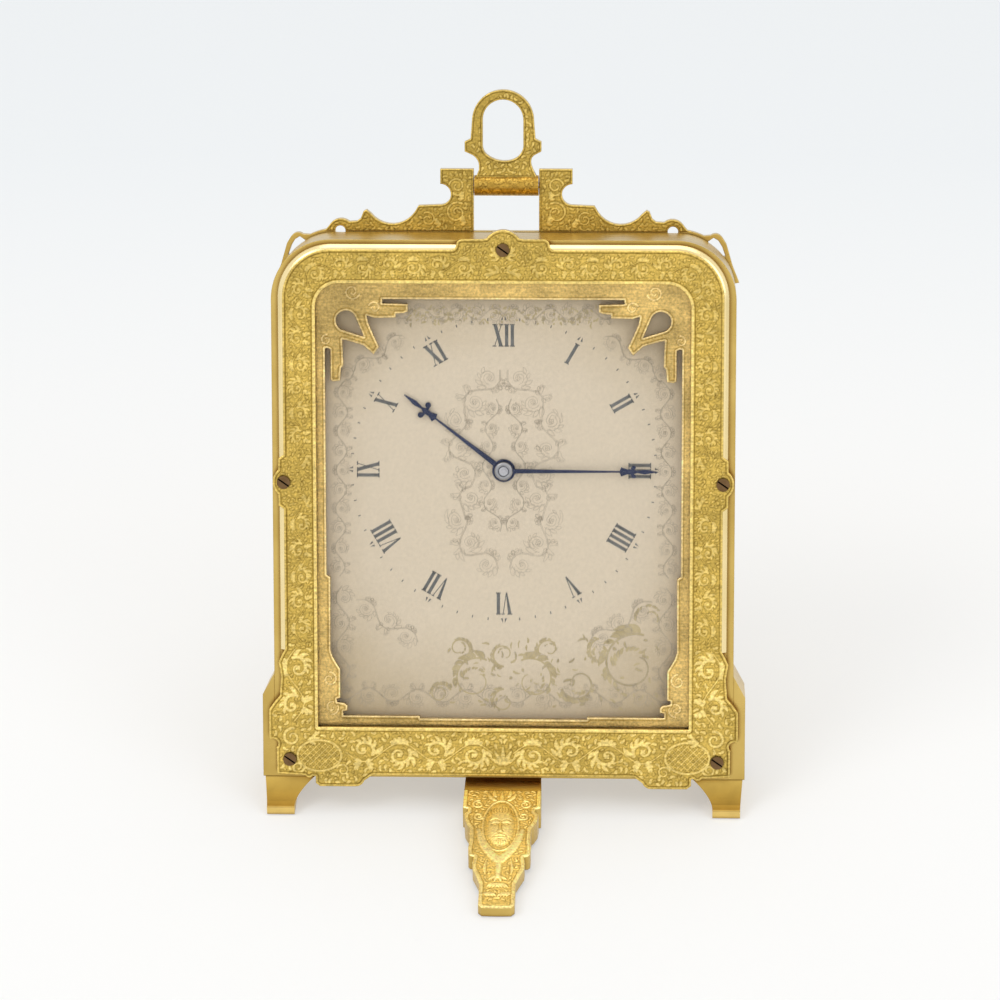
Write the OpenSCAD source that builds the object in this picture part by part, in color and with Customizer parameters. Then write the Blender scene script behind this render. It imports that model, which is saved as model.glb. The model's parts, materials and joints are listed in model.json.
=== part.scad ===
// Gilt strut clock, leaning back on a folding rear strut and a swivelling front foot.
// Frame: +X to the viewer's right, +Y away from the viewer, +Z up, millimetres.
// Origin: where the front foot's pivot axis meets the table.
// Case sizes are given along the leaning dial: heights from the corner feet's front edge, depths back
// from the front of the bezel.

/* [Stance] */
// Angle that the case leans back
lean = 20; // [18:0.5:22]
// Distance from the corner feet's front edge back to the front foot's pivot
pivot_setback = 7; // [6.8:0.1:8]
// Clear height under the plinth
plinth_clear = 6.5; // [6:0.1:7.4]

/* [Case] */
// Width of the case band
case_w = 96; // [94:0.5:100]
// Height of the case band's top
case_h = 121; // [120.5:0.5:126]
// Depth of the case band
case_depth = 14.8; // [14.6:0.1:18]
// Wall of the case band
case_wall = 1.8; // [1.5:0.1:2]
// Radius of the case band's upper corners
case_corner_r = 12.4; // [12:0.1:14]
// Height of the case band's lower edge, where it stands in the plinth
band_foot = 16; // [15.8:0.1:16.2]
// Width of the ledge inside the band that the mask and the dial sit on
ledge_w = 5.2; // [4.8:0.1:5.4]
// Thickness of that ledge
ledge_t = 1.6; // [1.4:0.1:2.2]

/* [Plinth and corner feet] */
// Amount that the plinth stands out beyond the case band on each side
plinth_margin = 2.5; // [2.3:0.1:4]
// Height of the plinth's square part
plinth_h = 25.2; // [22:0.2:27]
// Height of the sloping shoulders above it
shoulder_h = 4.6; // [3:0.2:6]
// Distance from the plinth's side in to a corner foot's toe
foot_inset = 0.9; // [0.4:0.1:1.2]
// Width of a corner foot's toe
toe_w = 5.8; // [5:0.1:6.2]
// Height of a corner foot's toe
toe_h = 2; // [1.6:0.1:2.6]
// Amount that a corner foot spreads inwards under the plinth
foot_spread = 4.3; // [3:0.1:4.6]
// Depth of a corner foot at the table
foot_depth = 13.5; // [11:0.5:14.5]

/* [Bezel] */
// Distance from the case band's side in to the bezel's raised face
bezel_inset = 2.5; // [2.3:0.1:3]
// Distance from the case band's top down to the bezel's straight upper edge
bezel_drop = 1.8; // [1.6:0.1:2.2]
// Height of the bezel's straight lower edge
bezel_bottom = 8.6; // [8.4:0.1:9]
// Thickness of the bezel
bezel_t = 2.2; // [2.2:0.1:2.6]
// Radius of the bezel's upper corners
bezel_corner_r = 10; // [9.6:0.1:11]
// Amount that the polished step behind the face stands out
bezel_step = 1; // [0.8:0.1:1.1]
// Width of the bezel's side rails beside the window
side_rail = 6.8; // [6.6:0.1:7.1]
// Width of its top rail
top_rail = 7; // [6.6:0.1:7.4]
// Width of its bottom rail
bottom_rail = 10.2; // [9.6:0.1:10.4]
// Radius of the window's upper corners
window_corner_r = 5; // [4:0.1:6]
// Thickness of the glass
glass_t = 1.2; // [1:0.1:1.4]
// Diameter of the heads of the bezel screws
bezel_screw_d = 2.7; // [2.4:0.1:3]

/* [Dial and hands] */
// Distance from the case band's top down to the dial's centre
dial_drop = 48.3; // [47.9:0.1:49]
// Thickness of the dial
dial_t = 1; // [0.9:0.1:1.2]
// Thickness of the gilt mask over the dial
mask_t = 1; // [0.8:0.1:1.2]
// Width of the mask's border beside the window
mask_border = 1.8; // [1.6:0.1:2.2]
// Width of its border at the top of the window
mask_head = 3.5; // [3.2:0.1:3.8]
// Width of its border at the bottom of the window
mask_sill = 1.5; // [1.3:0.1:1.8]
// Length of the minute hand
minute_len = 31.9; // [29:0.1:32.4]
// Length of the hour hand
hour_len = 26; // [24:0.1:27]
// Length of the minute hand's blade beyond its cross
minute_blade = 5.2; // [4.6:0.1:6]
// Length of the hour hand's blade beyond its cross
hour_blade = 5.6; // [5:0.1:6.4]
// Angle of the hour hand past twelve at rest
hour_angle = 307.5; // [300:0.5:315]
// Angle of the minute hand past twelve at rest
minute_angle = 90; // [80:1:100]

/* [Crest and ring handle] */
// Thickness of the crest plate
crest_t = 2.4; // [2.2:0.1:2.8]
// Height of the crest's uprights above the case band
crest_rise = 13.1; // [12.8:0.1:14]
// Gap between the uprights
crest_gap = 13.7; // [13.4:0.1:14.2]
// Width across the uprights
crest_w = 27.6; // [27.2:0.2:28.4]
// Distance from the uprights' top down to the handle's hinge axis
handle_drop = 3.5; // [2.9:0.1:3.9]
// Diameter of the handle's hinge barrel
barrel_d = 4.2; // [3.8:0.1:4.4]
// Reach of the ring above its hinge axis
ring_reach = 20; // [19.4:0.1:21]
// Width of the ring
ring_w = 12.9; // [12.6:0.1:14]
// Width of the ring's hole
ring_hole_w = 8.5; // [8:0.1:9]
// Sideways offset of the loop from the middle of its hinge
ring_shift = -0.7; // [-0.8:0.1:0.8]
// Thickness of the ring
ring_t = 2.4; // [2:0.1:2.6]
// Diameter of the handle's pin
handle_pin_d = 1.2; // [1:0.1:1.4]

/* [Back and strut] */
// Thickness of the back cover
cover_t = 1.2; // [1:0.1:1.6]
// Distance from the case band's top down to the strut's hinge axis
strut_drop = 31; // [27:0.5:35]
// Angle that the strut opens from the back
strut_open = 38; // [36:0.5:40]
// Thickness of the strut
strut_t = 2; // [1.8:0.1:2.2]
// Width of the strut at its widest
strut_w = 19; // [16:0.5:22]
// Diameter of the strut's knuckle
knuckle_d = 4; // [3.8:0.1:4.4]
// Length of the strut's knuckle
knuckle_len = 10.6; // [9:0.2:12]
// Diameter of the strut's pin
strut_pin_d = 1.8; // [1.6:0.1:2]
// Thickness of the strut bracket's plate
bracket_t = 1.2; // [1:0.1:1.4]
// Thickness of each ear of the bracket
ear_t = 3; // [2.4:0.1:3.4]

/* [Front foot] */
// Room between the toe of the swung foot and a corner foot
swing_room = 0.4; // [0.4:0.1:3]
// Width of the foot at its root
foot_w = 16.2; // [15:0.2:17]
// Width of the foot's toe
foot_toe_w = 7.4; // [6.6:0.1:8]
// Height of the foot's toe
foot_toe_h = 2; // [1.6:0.1:2.2]
// Distance from the pivot to where the foot's top starts to slope down
foot_level = 4; // [3:0.2:6]
// Height of the foot's underside above the table
foot_lift = 0.6; // [0.4:0.1:0.8]
// Diameter of the boss that the foot turns on
foot_boss_d = 7.6; // [7:0.1:8]
// Diameter of the pivot screw's plain part
foot_pin_d = 2.4; // [2:0.1:2.6]

/* [Movement] */
// Thickness of each movement plate
plate_t = 1.2; // [1:0.1:1.4]
// Width of the movement plates
plate_w = 51; // [50:0.5:60]
// Height of the movement plates
plate_h = 55; // [54:0.5:64]
// Distance between the movement plates
pillar_h = 4.8; // [4.8:0.1:5]
// Room between the dial and the front plate for the motion work
motion_gap = 2.2; // [2.2:0.1:2.3]
// Radial clearance of every turning fit
fit_gap = 0.04; // [0.03:0.01:0.06]
// Tooth size of the barrel and the centre pinion
barrel_m = 0.3; // [0.29:0.01:0.31]
// Tooth size of the centre wheel and the third pinion
centre_m = 0.25; // [0.25:0.01:0.26]
// Tooth size of the third wheel and the fourth pinion
third_m = 0.22; // [0.21:0.01:0.22]
// Tooth size of the fourth wheel and the escape pinion
fourth_m = 0.18; // [0.17:0.01:0.18]
// Distance from the cannon pinion to the minute wheel
motion_dist = 6; // [5.9:0.1:6.2]
// Radius of the balance wheel
balance_r = 7.5; // [6.5:0.1:7.6]

/* [Hidden] */

GILT = [0.83, 0.66, 0.24];
PALE_GILT = [0.88, 0.74, 0.38];
BRASS = [0.78, 0.62, 0.3];
SILVERED = [0.78, 0.74, 0.67];
STEEL = [0.55, 0.55, 0.57];
BROWN_STEEL = [0.42, 0.32, 0.27];
BLUED = [0.12, 0.15, 0.28];
CLEAR = [0.85, 0.92, 0.95, 0.35];

// Smoothness of round pieces and of round stretches of an outline
round_fn = 48;
arc_steps = 10;
// Room that a screw's shank has in a plain hole
screw_room = 0.05;

// Depths from the front of the bezel to the back of the crest
face_t = bezel_t - glass_t;
mask_w0 = bezel_t;
ledge_w0 = mask_w0 + mask_t;
dial_w0 = ledge_w0 + ledge_t;
dial_w1 = dial_w0 + dial_t;
front_w0 = dial_w1 + motion_gap;
front_w1 = front_w0 + plate_t;
rear_w0 = front_w1 + pillar_h;
rear_w1 = rear_w0 + plate_t;
cover_w0 = bezel_t + case_depth;
cover_w1 = cover_w0 + cover_t;
crest_w1 = cover_w1 + crest_t;

// Case outline
case_half = case_w / 2;
inner_half = case_half - case_wall;
inner_foot = band_foot + case_wall;
inner_top = case_h - case_wall;
inner_corner_r = case_corner_r - case_wall;
ledge_half = inner_half - ledge_w;
bezel_half = case_half - bezel_inset;
bezel_top = case_h - bezel_drop;
step_half = bezel_half + bezel_step;
window_half = bezel_half - side_rail;
window_top = bezel_top - top_rail;
window_bottom = bezel_bottom + bottom_rail;
dial_v = case_h - dial_drop;
// Lap of the glass behind the bezel and its room in the rebate
glass_lap = 1.8;
glass_room = 0.1;
glass_half = window_half + glass_lap;
plinth_half = case_half + plinth_margin;
foot_outer_u = plinth_half - foot_inset;
foot_inner_u = foot_outer_u - toe_w;
plinth_front_y = bezel_t * cos(lean) + (plinth_clear + bezel_t * sin(lean)) * tan(lean);

// Bezel screws: two to the plinth, two to the band's sides and one to its top
bezel_shank_r = 0.7;
bezel_head_t = 0.7;
bezel_screw_bite = 2.2;
lug_v = dial_v - 2;
boss_r = 2;
side_screw_u = bezel_half;
corner_screw = [bezel_half - 0.8, bezel_bottom + 3.3];
bezel_screw_places = [
    [0, bezel_top], [side_screw_u, lug_v], [-side_screw_u, lug_v], corner_screw,
    [-corner_screw[0], corner_screw[1]]
];
side_lug_r = 3.3;
side_lug_h = 11.4;
side_lug_out = 1.1;

// Mask and dial
mask_room = 0.2;
mask_half = inner_half - boss_r - case_wall + mask_room;
mask_top = bezel_top - boss_r - mask_room;
mask_foot = inner_foot + mask_room;
mask_open_half = window_half - mask_border;
mask_open_top = window_top - mask_head;
mask_open_foot = window_bottom + mask_sill;
dial_room = 0.6;
dial_half = inner_half - dial_room;
dial_screw_u = inner_half - ledge_w / 2;
dial_screw_v = [inner_foot + 8.5, inner_top - 12.9];
dial_screw_places = [for (s = [-1, 1]) for (v = dial_screw_v) [s * dial_screw_u, v]];
small_shank_r = 0.6;
small_head_r = 1.2;
small_head_t = 0.6;
dial_post_r = 1.6;
dial_post_stud_r = 0.8;
dial_post_places = [for (s = [-1, 1]) for (t = [-1, 1]) [s * (plate_w / 2 - 3), dial_v + t * 12]];

// Back cover, crest and bracket screws
cover_room = 0.8;
cover_half = case_half - cover_room;
cover_foot = 14;
cover_screw_u = inner_half - 1;
cover_screw_v = [band_foot + 16, case_h - 19];
cover_screw_places = [for (s = [-1, 1]) for (v = cover_screw_v) [s * cover_screw_u, v]];
cover_screw_bite = 3;
winding_hole_r = 2.4;
setting_hole_r = 2;
crest_top = case_h + crest_rise;
crest_screw_u = [crest_w / 2 + 5.2, case_half - 13];
crest_screw_places = [for (s = [-1, 1]) for (u = crest_screw_u) [s * u, case_h - 5.4]];
crest_flange = 9;

// Ring handle
handle_w = cover_w1 + crest_t / 2;
handle_v = crest_top - handle_drop;
barrel_r = barrel_d / 2;
barrel_half = crest_gap / 2 - 0.2;
handle_pin_r = handle_pin_d / 2;
handle_pin_bite = 4;

// Strut
knuckle_r = knuckle_d / 2;
hinge_room = 0.3;
strut_v = case_h - strut_drop;
strut_axis_w = cover_w1 + bracket_t + knuckle_r + hinge_room;
strut_pin_r = strut_pin_d / 2;
ear_gap = 0.2;
ear_u = knuckle_len / 2 + ear_gap;
bracket_half_w = ear_u + ear_t + 4;
bracket_half_h = 6;
bracket_screw_u = ear_u + ear_t + 2;
bracket_screw_places = [for (s = [-1, 1]) for (t = [-1, 1]) [s * bracket_screw_u, strut_v + t * 4]];
strut_hinge_z = strut_v * cos(lean) - strut_axis_w * sin(lean);
strut_reach = (strut_hinge_z - strut_t / 2) / cos(strut_open - lean);
stop_gap = 0.05;
heel_len = (knuckle_r + hinge_room - stop_gap - strut_t / 2 * cos(strut_open)) / sin(strut_open);

// Front foot
foot_reach = foot_inner_u - swing_room;
foot_boss_r = foot_boss_d / 2;
foot_play = 0.05;
foot_top = plinth_clear - foot_play;
foot_slope = atan((foot_top - foot_toe_h) / (foot_reach - foot_level));
foot_pin_r = foot_pin_d / 2;
foot_head_r = 2.6;
foot_head_t = 1;
foot_thread_r = 0.9;
foot_thread_len = 2.6;
foot_heel_r = 7.6;

// Train: tooth counts, directions from arbor to arbor, and places relative to the dial's centre
BARREL_N = 84;
CENTRE_PINION_N = 12;
CENTRE_N = 64;
THIRD_PINION_N = 8;
THIRD_N = 60;
FOURTH_PINION_N = 8;
FOURTH_N = 70;
ESCAPE_PINION_N = 7;
ESCAPE_N = 15;
CANNON_N = 12;
MINUTE_N = 36;
MINUTE_PINION_N = 10;
HOUR_N = 40;
RATCHET_N = 24;
cannon_m = 2 * motion_dist / (CANNON_N + MINUTE_N);
hour_m = 2 * motion_dist / (MINUTE_PINION_N + HOUR_N);
third_dir = 53;
fourth_dir = -26;
escape_dir = -84;
lever_dir = -107.5;
minute_dir = -90;
escape_r = 4;
lever_dist = 5;
roller_dist = 5.2;
centre_at = [0, dial_v];
barrel_at = centre_at + polar((BARREL_N + CENTRE_PINION_N) * barrel_m / 2, third_dir + 180);
third_at = centre_at + polar((CENTRE_N + THIRD_PINION_N) * centre_m / 2, third_dir);
fourth_at = third_at + polar((THIRD_N + FOURTH_PINION_N) * third_m / 2, fourth_dir);
escape_at = fourth_at + polar((FOURTH_N + ESCAPE_PINION_N) * fourth_m / 2, escape_dir);
lever_at = escape_at + polar(lever_dist, lever_dir);
balance_at = lever_at + polar(roller_dist, lever_dir);
minute_at = centre_at + polar(motion_dist, minute_dir);
pallet_foot_at = lever_at + polar(5, lever_dir + 90);
cock_foot_at = balance_at + polar(12, -56);
click_at = barrel_at + polar(7, 150);

// Arbor, pivot and pinion radii
pivot_r = 0.35;
arbor_r = 0.6;
fine_pivot_r = 0.25;
fine_arbor_r = 0.35;
centre_tube_r = 1;
setting_r = 0.58;
cannon_r = 0.95;
hour_pipe_r = 1.5;
barrel_pivot_r = 1;
barrel_core_r = 1.5;
stud_r = 0.6;
pillar_r = 2;
pillar_inset = 3;
pillar_screw_r = 0.8;
pillar_head_r = 1.5;
pillar_head_t = 0.7;
pillar_screw_bite = 1.6;
pillar_places = [for (s = [-1, 1]) for (t = [-1, 1])
    [s * (plate_w / 2 - pillar_inset), dial_v + t * (plate_h / 2 - pillar_inset)]];

// Levels of the wheels between the plates
end_play = 0.2;
barrel_w0 = front_w1 + 2 * end_play;
barrel_w1 = rear_w0 - 1.1;
barrel_rim_t = 1;
barrel_wall = 0.6;
barrel_skin = 0.5;
centre_wheel_w0 = rear_w0 - 0.7;
third_wheel_w0 = front_w1 + 2.2;
fourth_wheel_w0 = front_w1 + 3.1;
escape_wheel_w0 = front_w1 + 1.1;
lever_w0 = front_w1 + 1;
pallet_cock_w0 = front_w1 + 2;
hairspring_w0 = front_w1 + 3;
balance_w0 = rear_w0 - 0.9;
hour_wheel_w0 = dial_w1 + end_play;
minute_wheel_w0 = front_w0 - 1.1;
minute_hand_w0 = bezel_t + 1.2;
hour_hand_w0 = dial_w0 - 0.7;
hand_t = 0.3;
wheel_t = 0.4;
motion_t = 0.6;
barrel_pitch_r = BARREL_N * barrel_m / 2;
barrel_drum_r = barrel_pitch_r - 1.6 * barrel_m - barrel_wall;

// Points and frames
function polar(r, a) = [r * cos(a), r * sin(a)];
function arc(c, r, a0, a1, n = arc_steps) =
    [for (i = [0 : n]) let (a = a0 + (a1 - a0) * i / n) [c[0] + r * cos(a), c[1] + r * sin(a)]];
function flipped(p) = [for (i = [len(p) - 1 : -1 : 0]) [-p[i][0], p[i][1]]];
function both_sides(p) = concat(p, flipped(p));

// Outline of a plate with rounded upper corners, right side first
function arch(half, foot, top, r) =
    both_sides(concat([[half, foot]], arc([half - r, top - r], r, 0, 90, 2 * arc_steps)));

// Tooth outline: half widths of a tooth at its root, pitch line and tip as shares of the pitch
WHEEL_FORM = [0.8, 1.3, 0.3, 0.2, 0.07];
PINION_FORM = [0.7, 1.45, 0.19, 0.18, 0.08];
function tooth_points(n, m, form) =
    let (
        rp = n * m / 2,
        tip = rp + form[0] * m,
        root = rp - form[1] * m,
        rise = [[-form[2], root], [-form[3], rp], [-form[4], tip]],
        steps = concat(rise, [[form[4], tip], [form[3], rp], [form[2], root]])
    )
    [for (i = [0 : n - 1]) for (s = steps) polar(s[1], (i + s[0]) * 360 / n)];
function saw_points(n, tip, root, hook) =
    [for (i = [0 : n - 1]) for (s = [[0, root], [hook, tip], [hook + 0.12, tip]])
        polar(s[1], (i + s[0]) * 360 / n)];

// Spiral strip that starts at radius r0 and grows by pitch a turn
function spiral(r0, pitch, turns, thick, steps) =
    concat(
        [for (i = [0 : turns * steps]) polar(r0 + pitch * i / steps, 360 * i / steps)],
        [for (i = [turns * steps : -1 : 0]) polar(r0 + thick + pitch * i / steps, 360 * i / steps)]
    );

// Leans a piece of the case back
module in_case() {
    translate([0, -pivot_setback, 0]) rotate([-lean, 0, 0]) children();
}

// Plate of a case outline between two depths
module slab(w0, w1) {
    translate([0, w1, 0]) rotate([90, 0, 0]) linear_extrude(w1 - w0) children();
}

// Round rod along the depth of the case
module rod(at, w0, w1, r) {
    translate([at[0], w1, at[1]]) rotate([90, 0, 0]) cylinder(h = w1 - w0, r = r, $fn = round_fn);
}

// Round rod along X
module cross_rod(half, r) {
    translate([-half, 0, 0]) rotate([0, 90, 0]) cylinder(h = 2 * half, r = r, $fn = round_fn);
}

// Slotted screw with its head's underside at depth w and its shank towards deeper depths when way is 1
module screw(at, w, way, head_r, head_t, shank_r, length) {
    slot_w = head_r * 0.25;
    difference() {
        rod(at, way > 0 ? w - head_t : w, way > 0 ? w : w + head_t, head_r);
        translate([at[0], way > 0 ? w - head_t : w + head_t, at[1]])
            rotate([0, 35, 0]) cube([3 * head_r, head_t, slot_w], center = true);
    }
    rod(at, way > 0 ? w : w - length, way > 0 ? w + length : w, shank_r);
}

// Five round windows between the hub and the rim of a wheel
module crossings(hub_r, rim_r) {
    mid_r = (hub_r + rim_r) / 2;
    hole_r = (rim_r - hub_r) / 2 * 0.8;
    for (i = [0 : 4]) rotate(72 * i + 36) translate([mid_r, 0]) circle(r = hole_r, $fn = round_fn);
}

// Case
module case_band() {
    wall_mid = case_wall / 2;
    color(GILT) in_case() difference() {
        union() {
            difference() {
                slab(bezel_t, cover_w0) polygon(arch(case_half, band_foot, case_h, case_corner_r));
                slab(bezel_t - 1, cover_w0 + 1)
                    polygon(arch(inner_half, inner_foot, inner_top, inner_corner_r));
            }
            slab(ledge_w0, dial_w0) difference() {
                polygon(arch(inner_half + wall_mid, inner_foot - wall_mid, inner_top + wall_mid,
                    inner_corner_r + wall_mid));
                polygon(arch(ledge_half, window_bottom + 0.5, window_top + 2, inner_corner_r - ledge_w));
            }
            for (i = [0 : 2]) rod(bezel_screw_places[i], bezel_t, dial_w0, boss_r);
            for (p = cover_screw_places) rod(p, cover_w0 - cover_screw_bite - 1, cover_w0, boss_r);
        }
        for (p = bezel_screw_places) rod(p, bezel_t - 1, bezel_t + bezel_screw_bite, bezel_shank_r);
        for (p = dial_screw_places) rod(p, dial_w0 - 1.2, dial_w0 + 1, small_shank_r);
        for (p = cover_screw_places) rod(p, cover_w0 - cover_screw_bite, cover_w0 + 1, small_shank_r);
    }
}

module plinth_outline() {
    polygon(both_sides([
        [plinth_half, 0], [plinth_half, plinth_h], [case_half, plinth_h + shoulder_h], [case_half, band_foot]
    ]));
}

module plinth() {
    color(GILT) difference() {
        in_case() difference() {
            slab(bezel_t, cover_w0) plinth_outline();
            for (p = bezel_screw_places) rod(p, bezel_t - 1, bezel_t + bezel_screw_bite, bezel_shank_r);
        }
        translate([-case_w, -case_w, plinth_clear - case_w]) cube([2 * case_w, 2 * case_w, case_w]);
        translate([0, 0, plinth_clear - 1])
            cylinder(h = foot_thread_len + 1, r = foot_thread_r, $fn = round_fn);
    }
}

// Bracket foot: a front outline and a side outline, cut out of one block
module corner_foot(side) {
    rise = plinth_clear - toe_h;
    toe_y = 0.4;
    front_y = plinth_front_y + 0.3;
    shares = [for (i = [arc_steps : -1 : 0]) i / arc_steps];
    front_points = concat(
        [[foot_inner_u, 0], [foot_outer_u, 0], [foot_outer_u, toe_h], [plinth_half - 0.4, plinth_clear]],
        [for (t = shares) [foot_inner_u - foot_spread * pow(t, 1.45), toe_h + rise * t]]
    );
    side_points = concat(
        [[0, 0], [foot_depth, 0], [foot_depth + 1.5, plinth_clear]],
        [for (t = shares) [toe_y + (front_y - toe_y) * pow(t, 0.75), toe_h + rise * t]],
        [[0, toe_h - 0.2]]
    );
    color(GILT) translate([0, -pivot_setback, 0]) intersection() {
        translate([0, 2 * foot_depth, 0]) rotate([90, 0, 0]) linear_extrude(3 * foot_depth)
            polygon([for (p = front_points) [side * p[0], p[1]]]);
        translate([-case_w, 0, 0]) rotate([90, 0, 90]) linear_extrude(2 * case_w) polygon(side_points);
    }
}

module corner_foot_left() {
    corner_foot(-1);
}

module corner_foot_right() {
    corner_foot(1);
}

// Right half of the bezel's face, from the middle of the apron up to the top lug
function bezel_half_outline() =
    let (b = bezel_bottom, h = bezel_half)
    concat(
        [[h - 18.4, b]],
        arc([h - 18.4, b - 1], 1, 90, 40, 4),
        arc([h - 14.6, b - 0.6], 1.9, 200, 270, 5),
        [[h - 7.1, b - 2.5], [h - 6.2, b - 1.8], [h - 6.2, b - 0.4]],
        arc([h - 4.8, b + 0.3], 1, 215, 330, 5),
        [[h + 1.9, b + 0.1], [h + 1.9, b + 5.5]],
        arc([h + 2.7, b + 6.5], 1.1, 235, 60, 6),
        [[h + 3.5, b + 7.9], [h + 3.5, b + 13.8], [h + 2.4, b + 15.4], [h + 1.2, b + 16.8]],
        [[h + 0.9, b + 21], [h + 1.4, b + 24], [h + 0.6, b + 25.8], [h, b + 26.8]],
        [[h, lug_v - side_lug_h / 2]],
        [[bezel_half + side_lug_out, lug_v - side_lug_h / 2 + 0.8]],
        arc([side_screw_u - 1, lug_v], side_lug_r, -50, 50, 2 * arc_steps),
        [[bezel_half + side_lug_out, lug_v + side_lug_h / 2 - 0.8], [bezel_half, lug_v + side_lug_h / 2]],
        arc([bezel_half - bezel_corner_r, bezel_top - bezel_corner_r], bezel_corner_r, 0, 90, 2 * arc_steps),
        arc([10.6, bezel_top + 1], 1, 270, 180, 4),
        arc([8.4, bezel_top + 1], 1.2, 0, 90, 4),
        [[4.6, bezel_top + 2.2]],
        arc([0, bezel_top], 4.1, 35, 90, arc_steps)
    );

module window_outline() {
    polygon(arch(window_half, window_bottom, window_top, window_corner_r));
}

module bezel() {
    color(GILT) in_case() difference() {
        union() {
            slab(0, face_t) difference() {
                polygon(both_sides(bezel_half_outline()));
                window_outline();
            }
            slab(face_t, bezel_t) difference() {
                union() {
                    polygon(arch(step_half, bezel_bottom + 1, bezel_top + bezel_step,
                        bezel_corner_r + bezel_step));
                    polygon(both_sides(bezel_half_outline()));
                }
                polygon(arch(glass_half + glass_room, window_bottom - glass_lap - glass_room,
                    window_top + glass_lap + glass_room, window_corner_r));
            }
        }
        for (p = bezel_screw_places) rod(p, -1, bezel_t + 1, bezel_shank_r + screw_room);
    }
}

module bezel_screws() {
    color(BROWN_STEEL) in_case() for (p = bezel_screw_places)
        screw(p, 0, 1, bezel_screw_d / 2, bezel_head_t, bezel_shank_r, bezel_t + bezel_screw_bite);
}

module glass() {
    color(CLEAR) in_case() slab(face_t, bezel_t)
        polygon(arch(glass_half, window_bottom - glass_lap, window_top + glass_lap, window_corner_r));
}

// Upper spandrel of the mask: an arm along the top, a hook with a teardrop and an arm down the side
module spandrel() {
    translate([mask_open_half, mask_open_top]) difference() {
        polygon([
            [0.5, 0.5], [-11.8, 0.5], [-12, -0.4], [-11.8, -0.85], [-17.2, -0.95], [-17.2, -2.5],
            [-16.4, -2.9], [-14.7, -3], [-14.7, -3.8], [-10.2, -3.9], [-8.7, -3.4], [-9, -5], [-10.3, -8],
            [-11.2, -9.9], [-10.1, -11.5], [-8, -9.6], [-4.6, -8.6], [-3.6, -8.4], [-3.7, -10.5],
            [-3.8, -13.8], [-3.3, -14.4], [-3.1, -17], [-1.6, -17.2], [-1.1, -16.8], [-1.1, -10.5],
            [-0.5, -10.2], [0.5, -10.3]
        ]);
        polygon(concat(arc([-4.4, -4.5], 2.1, -70, 160, 2 * arc_steps), [[-8.1, -7.85]]));
    }
}

// Lower corner bracket of the mask
module corner_bracket() {
    translate([mask_open_half, mask_open_foot]) polygon([
        [0.5, -0.5], [-19.4, -0.5], [-19.4, 0.5], [-3.3, 0.5], [-3.3, 1.4], [-4.2, 1.6], [-4.2, 2.6],
        [-3.6, 3.1], [-2, 3.4], [-1.95, 4.1], [-2.7, 4.2], [-2.7, 10.4], [-2.3, 11.05], [-1.15, 13],
        [-0.7, 14.5], [-0.8, 30], [0.5, 30.8]
    ]);
}

module dial_mask() {
    color(PALE_GILT) in_case() {
        slab(mask_w0, ledge_w0) difference() {
            polygon(arch(mask_half, mask_foot, mask_top, inner_corner_r - 2));
            polygon(arch(mask_open_half, mask_open_foot, mask_open_top, window_corner_r - mask_border));
        }
        for (m = [0, 1]) mirror([m, 0, 0]) {
            slab(mask_w0, ledge_w0) spandrel();
            slab(mask_w0, ledge_w0) corner_bracket();
        }
    }
}

module dial() {
    color(SILVERED) in_case() difference() {
        slab(dial_w0, dial_w1)
            polygon(arch(dial_half, inner_foot + dial_room, inner_top - 2, inner_corner_r - dial_room));
        rod(centre_at, dial_w0 - 1, dial_w1 + 1, hour_pipe_r + 0.3);
        for (p = dial_screw_places) rod(p, dial_w0 - 1, dial_w1 + 1, small_shank_r + screw_room);
    }
}

module dial_screws() {
    color(STEEL) in_case() for (p = dial_screw_places)
        screw(p, dial_w1, -1, small_head_r, small_head_t, small_shank_r, dial_t + 1.2);
}

module dial_posts() {
    color(BRASS) in_case() for (p = dial_post_places) {
        rod(p, dial_w1, front_w0, dial_post_r);
        rod(p, front_w0, front_w1, dial_post_stud_r);
    }
}

// Back, crest and strut
module back_cover() {
    color(GILT) in_case() difference() {
        slab(cover_w0, cover_w1)
            polygon(arch(cover_half, cover_foot, case_h - cover_room, case_corner_r - cover_room));
        for (p = concat(cover_screw_places, crest_screw_places, bracket_screw_places))
            rod(p, cover_w0 - 1, cover_w1 + 1, small_shank_r + screw_room);
        rod(barrel_at, cover_w0 - 1, cover_w1 + 1, winding_hole_r);
        rod(centre_at, cover_w0 - 1, cover_w1 + 1, setting_hole_r);
    }
}

module back_cover_screws() {
    color(BROWN_STEEL) in_case() for (p = cover_screw_places)
        screw(p, cover_w1, -1, small_head_r, small_head_t, small_shank_r, cover_t + cover_screw_bite);
}

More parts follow.
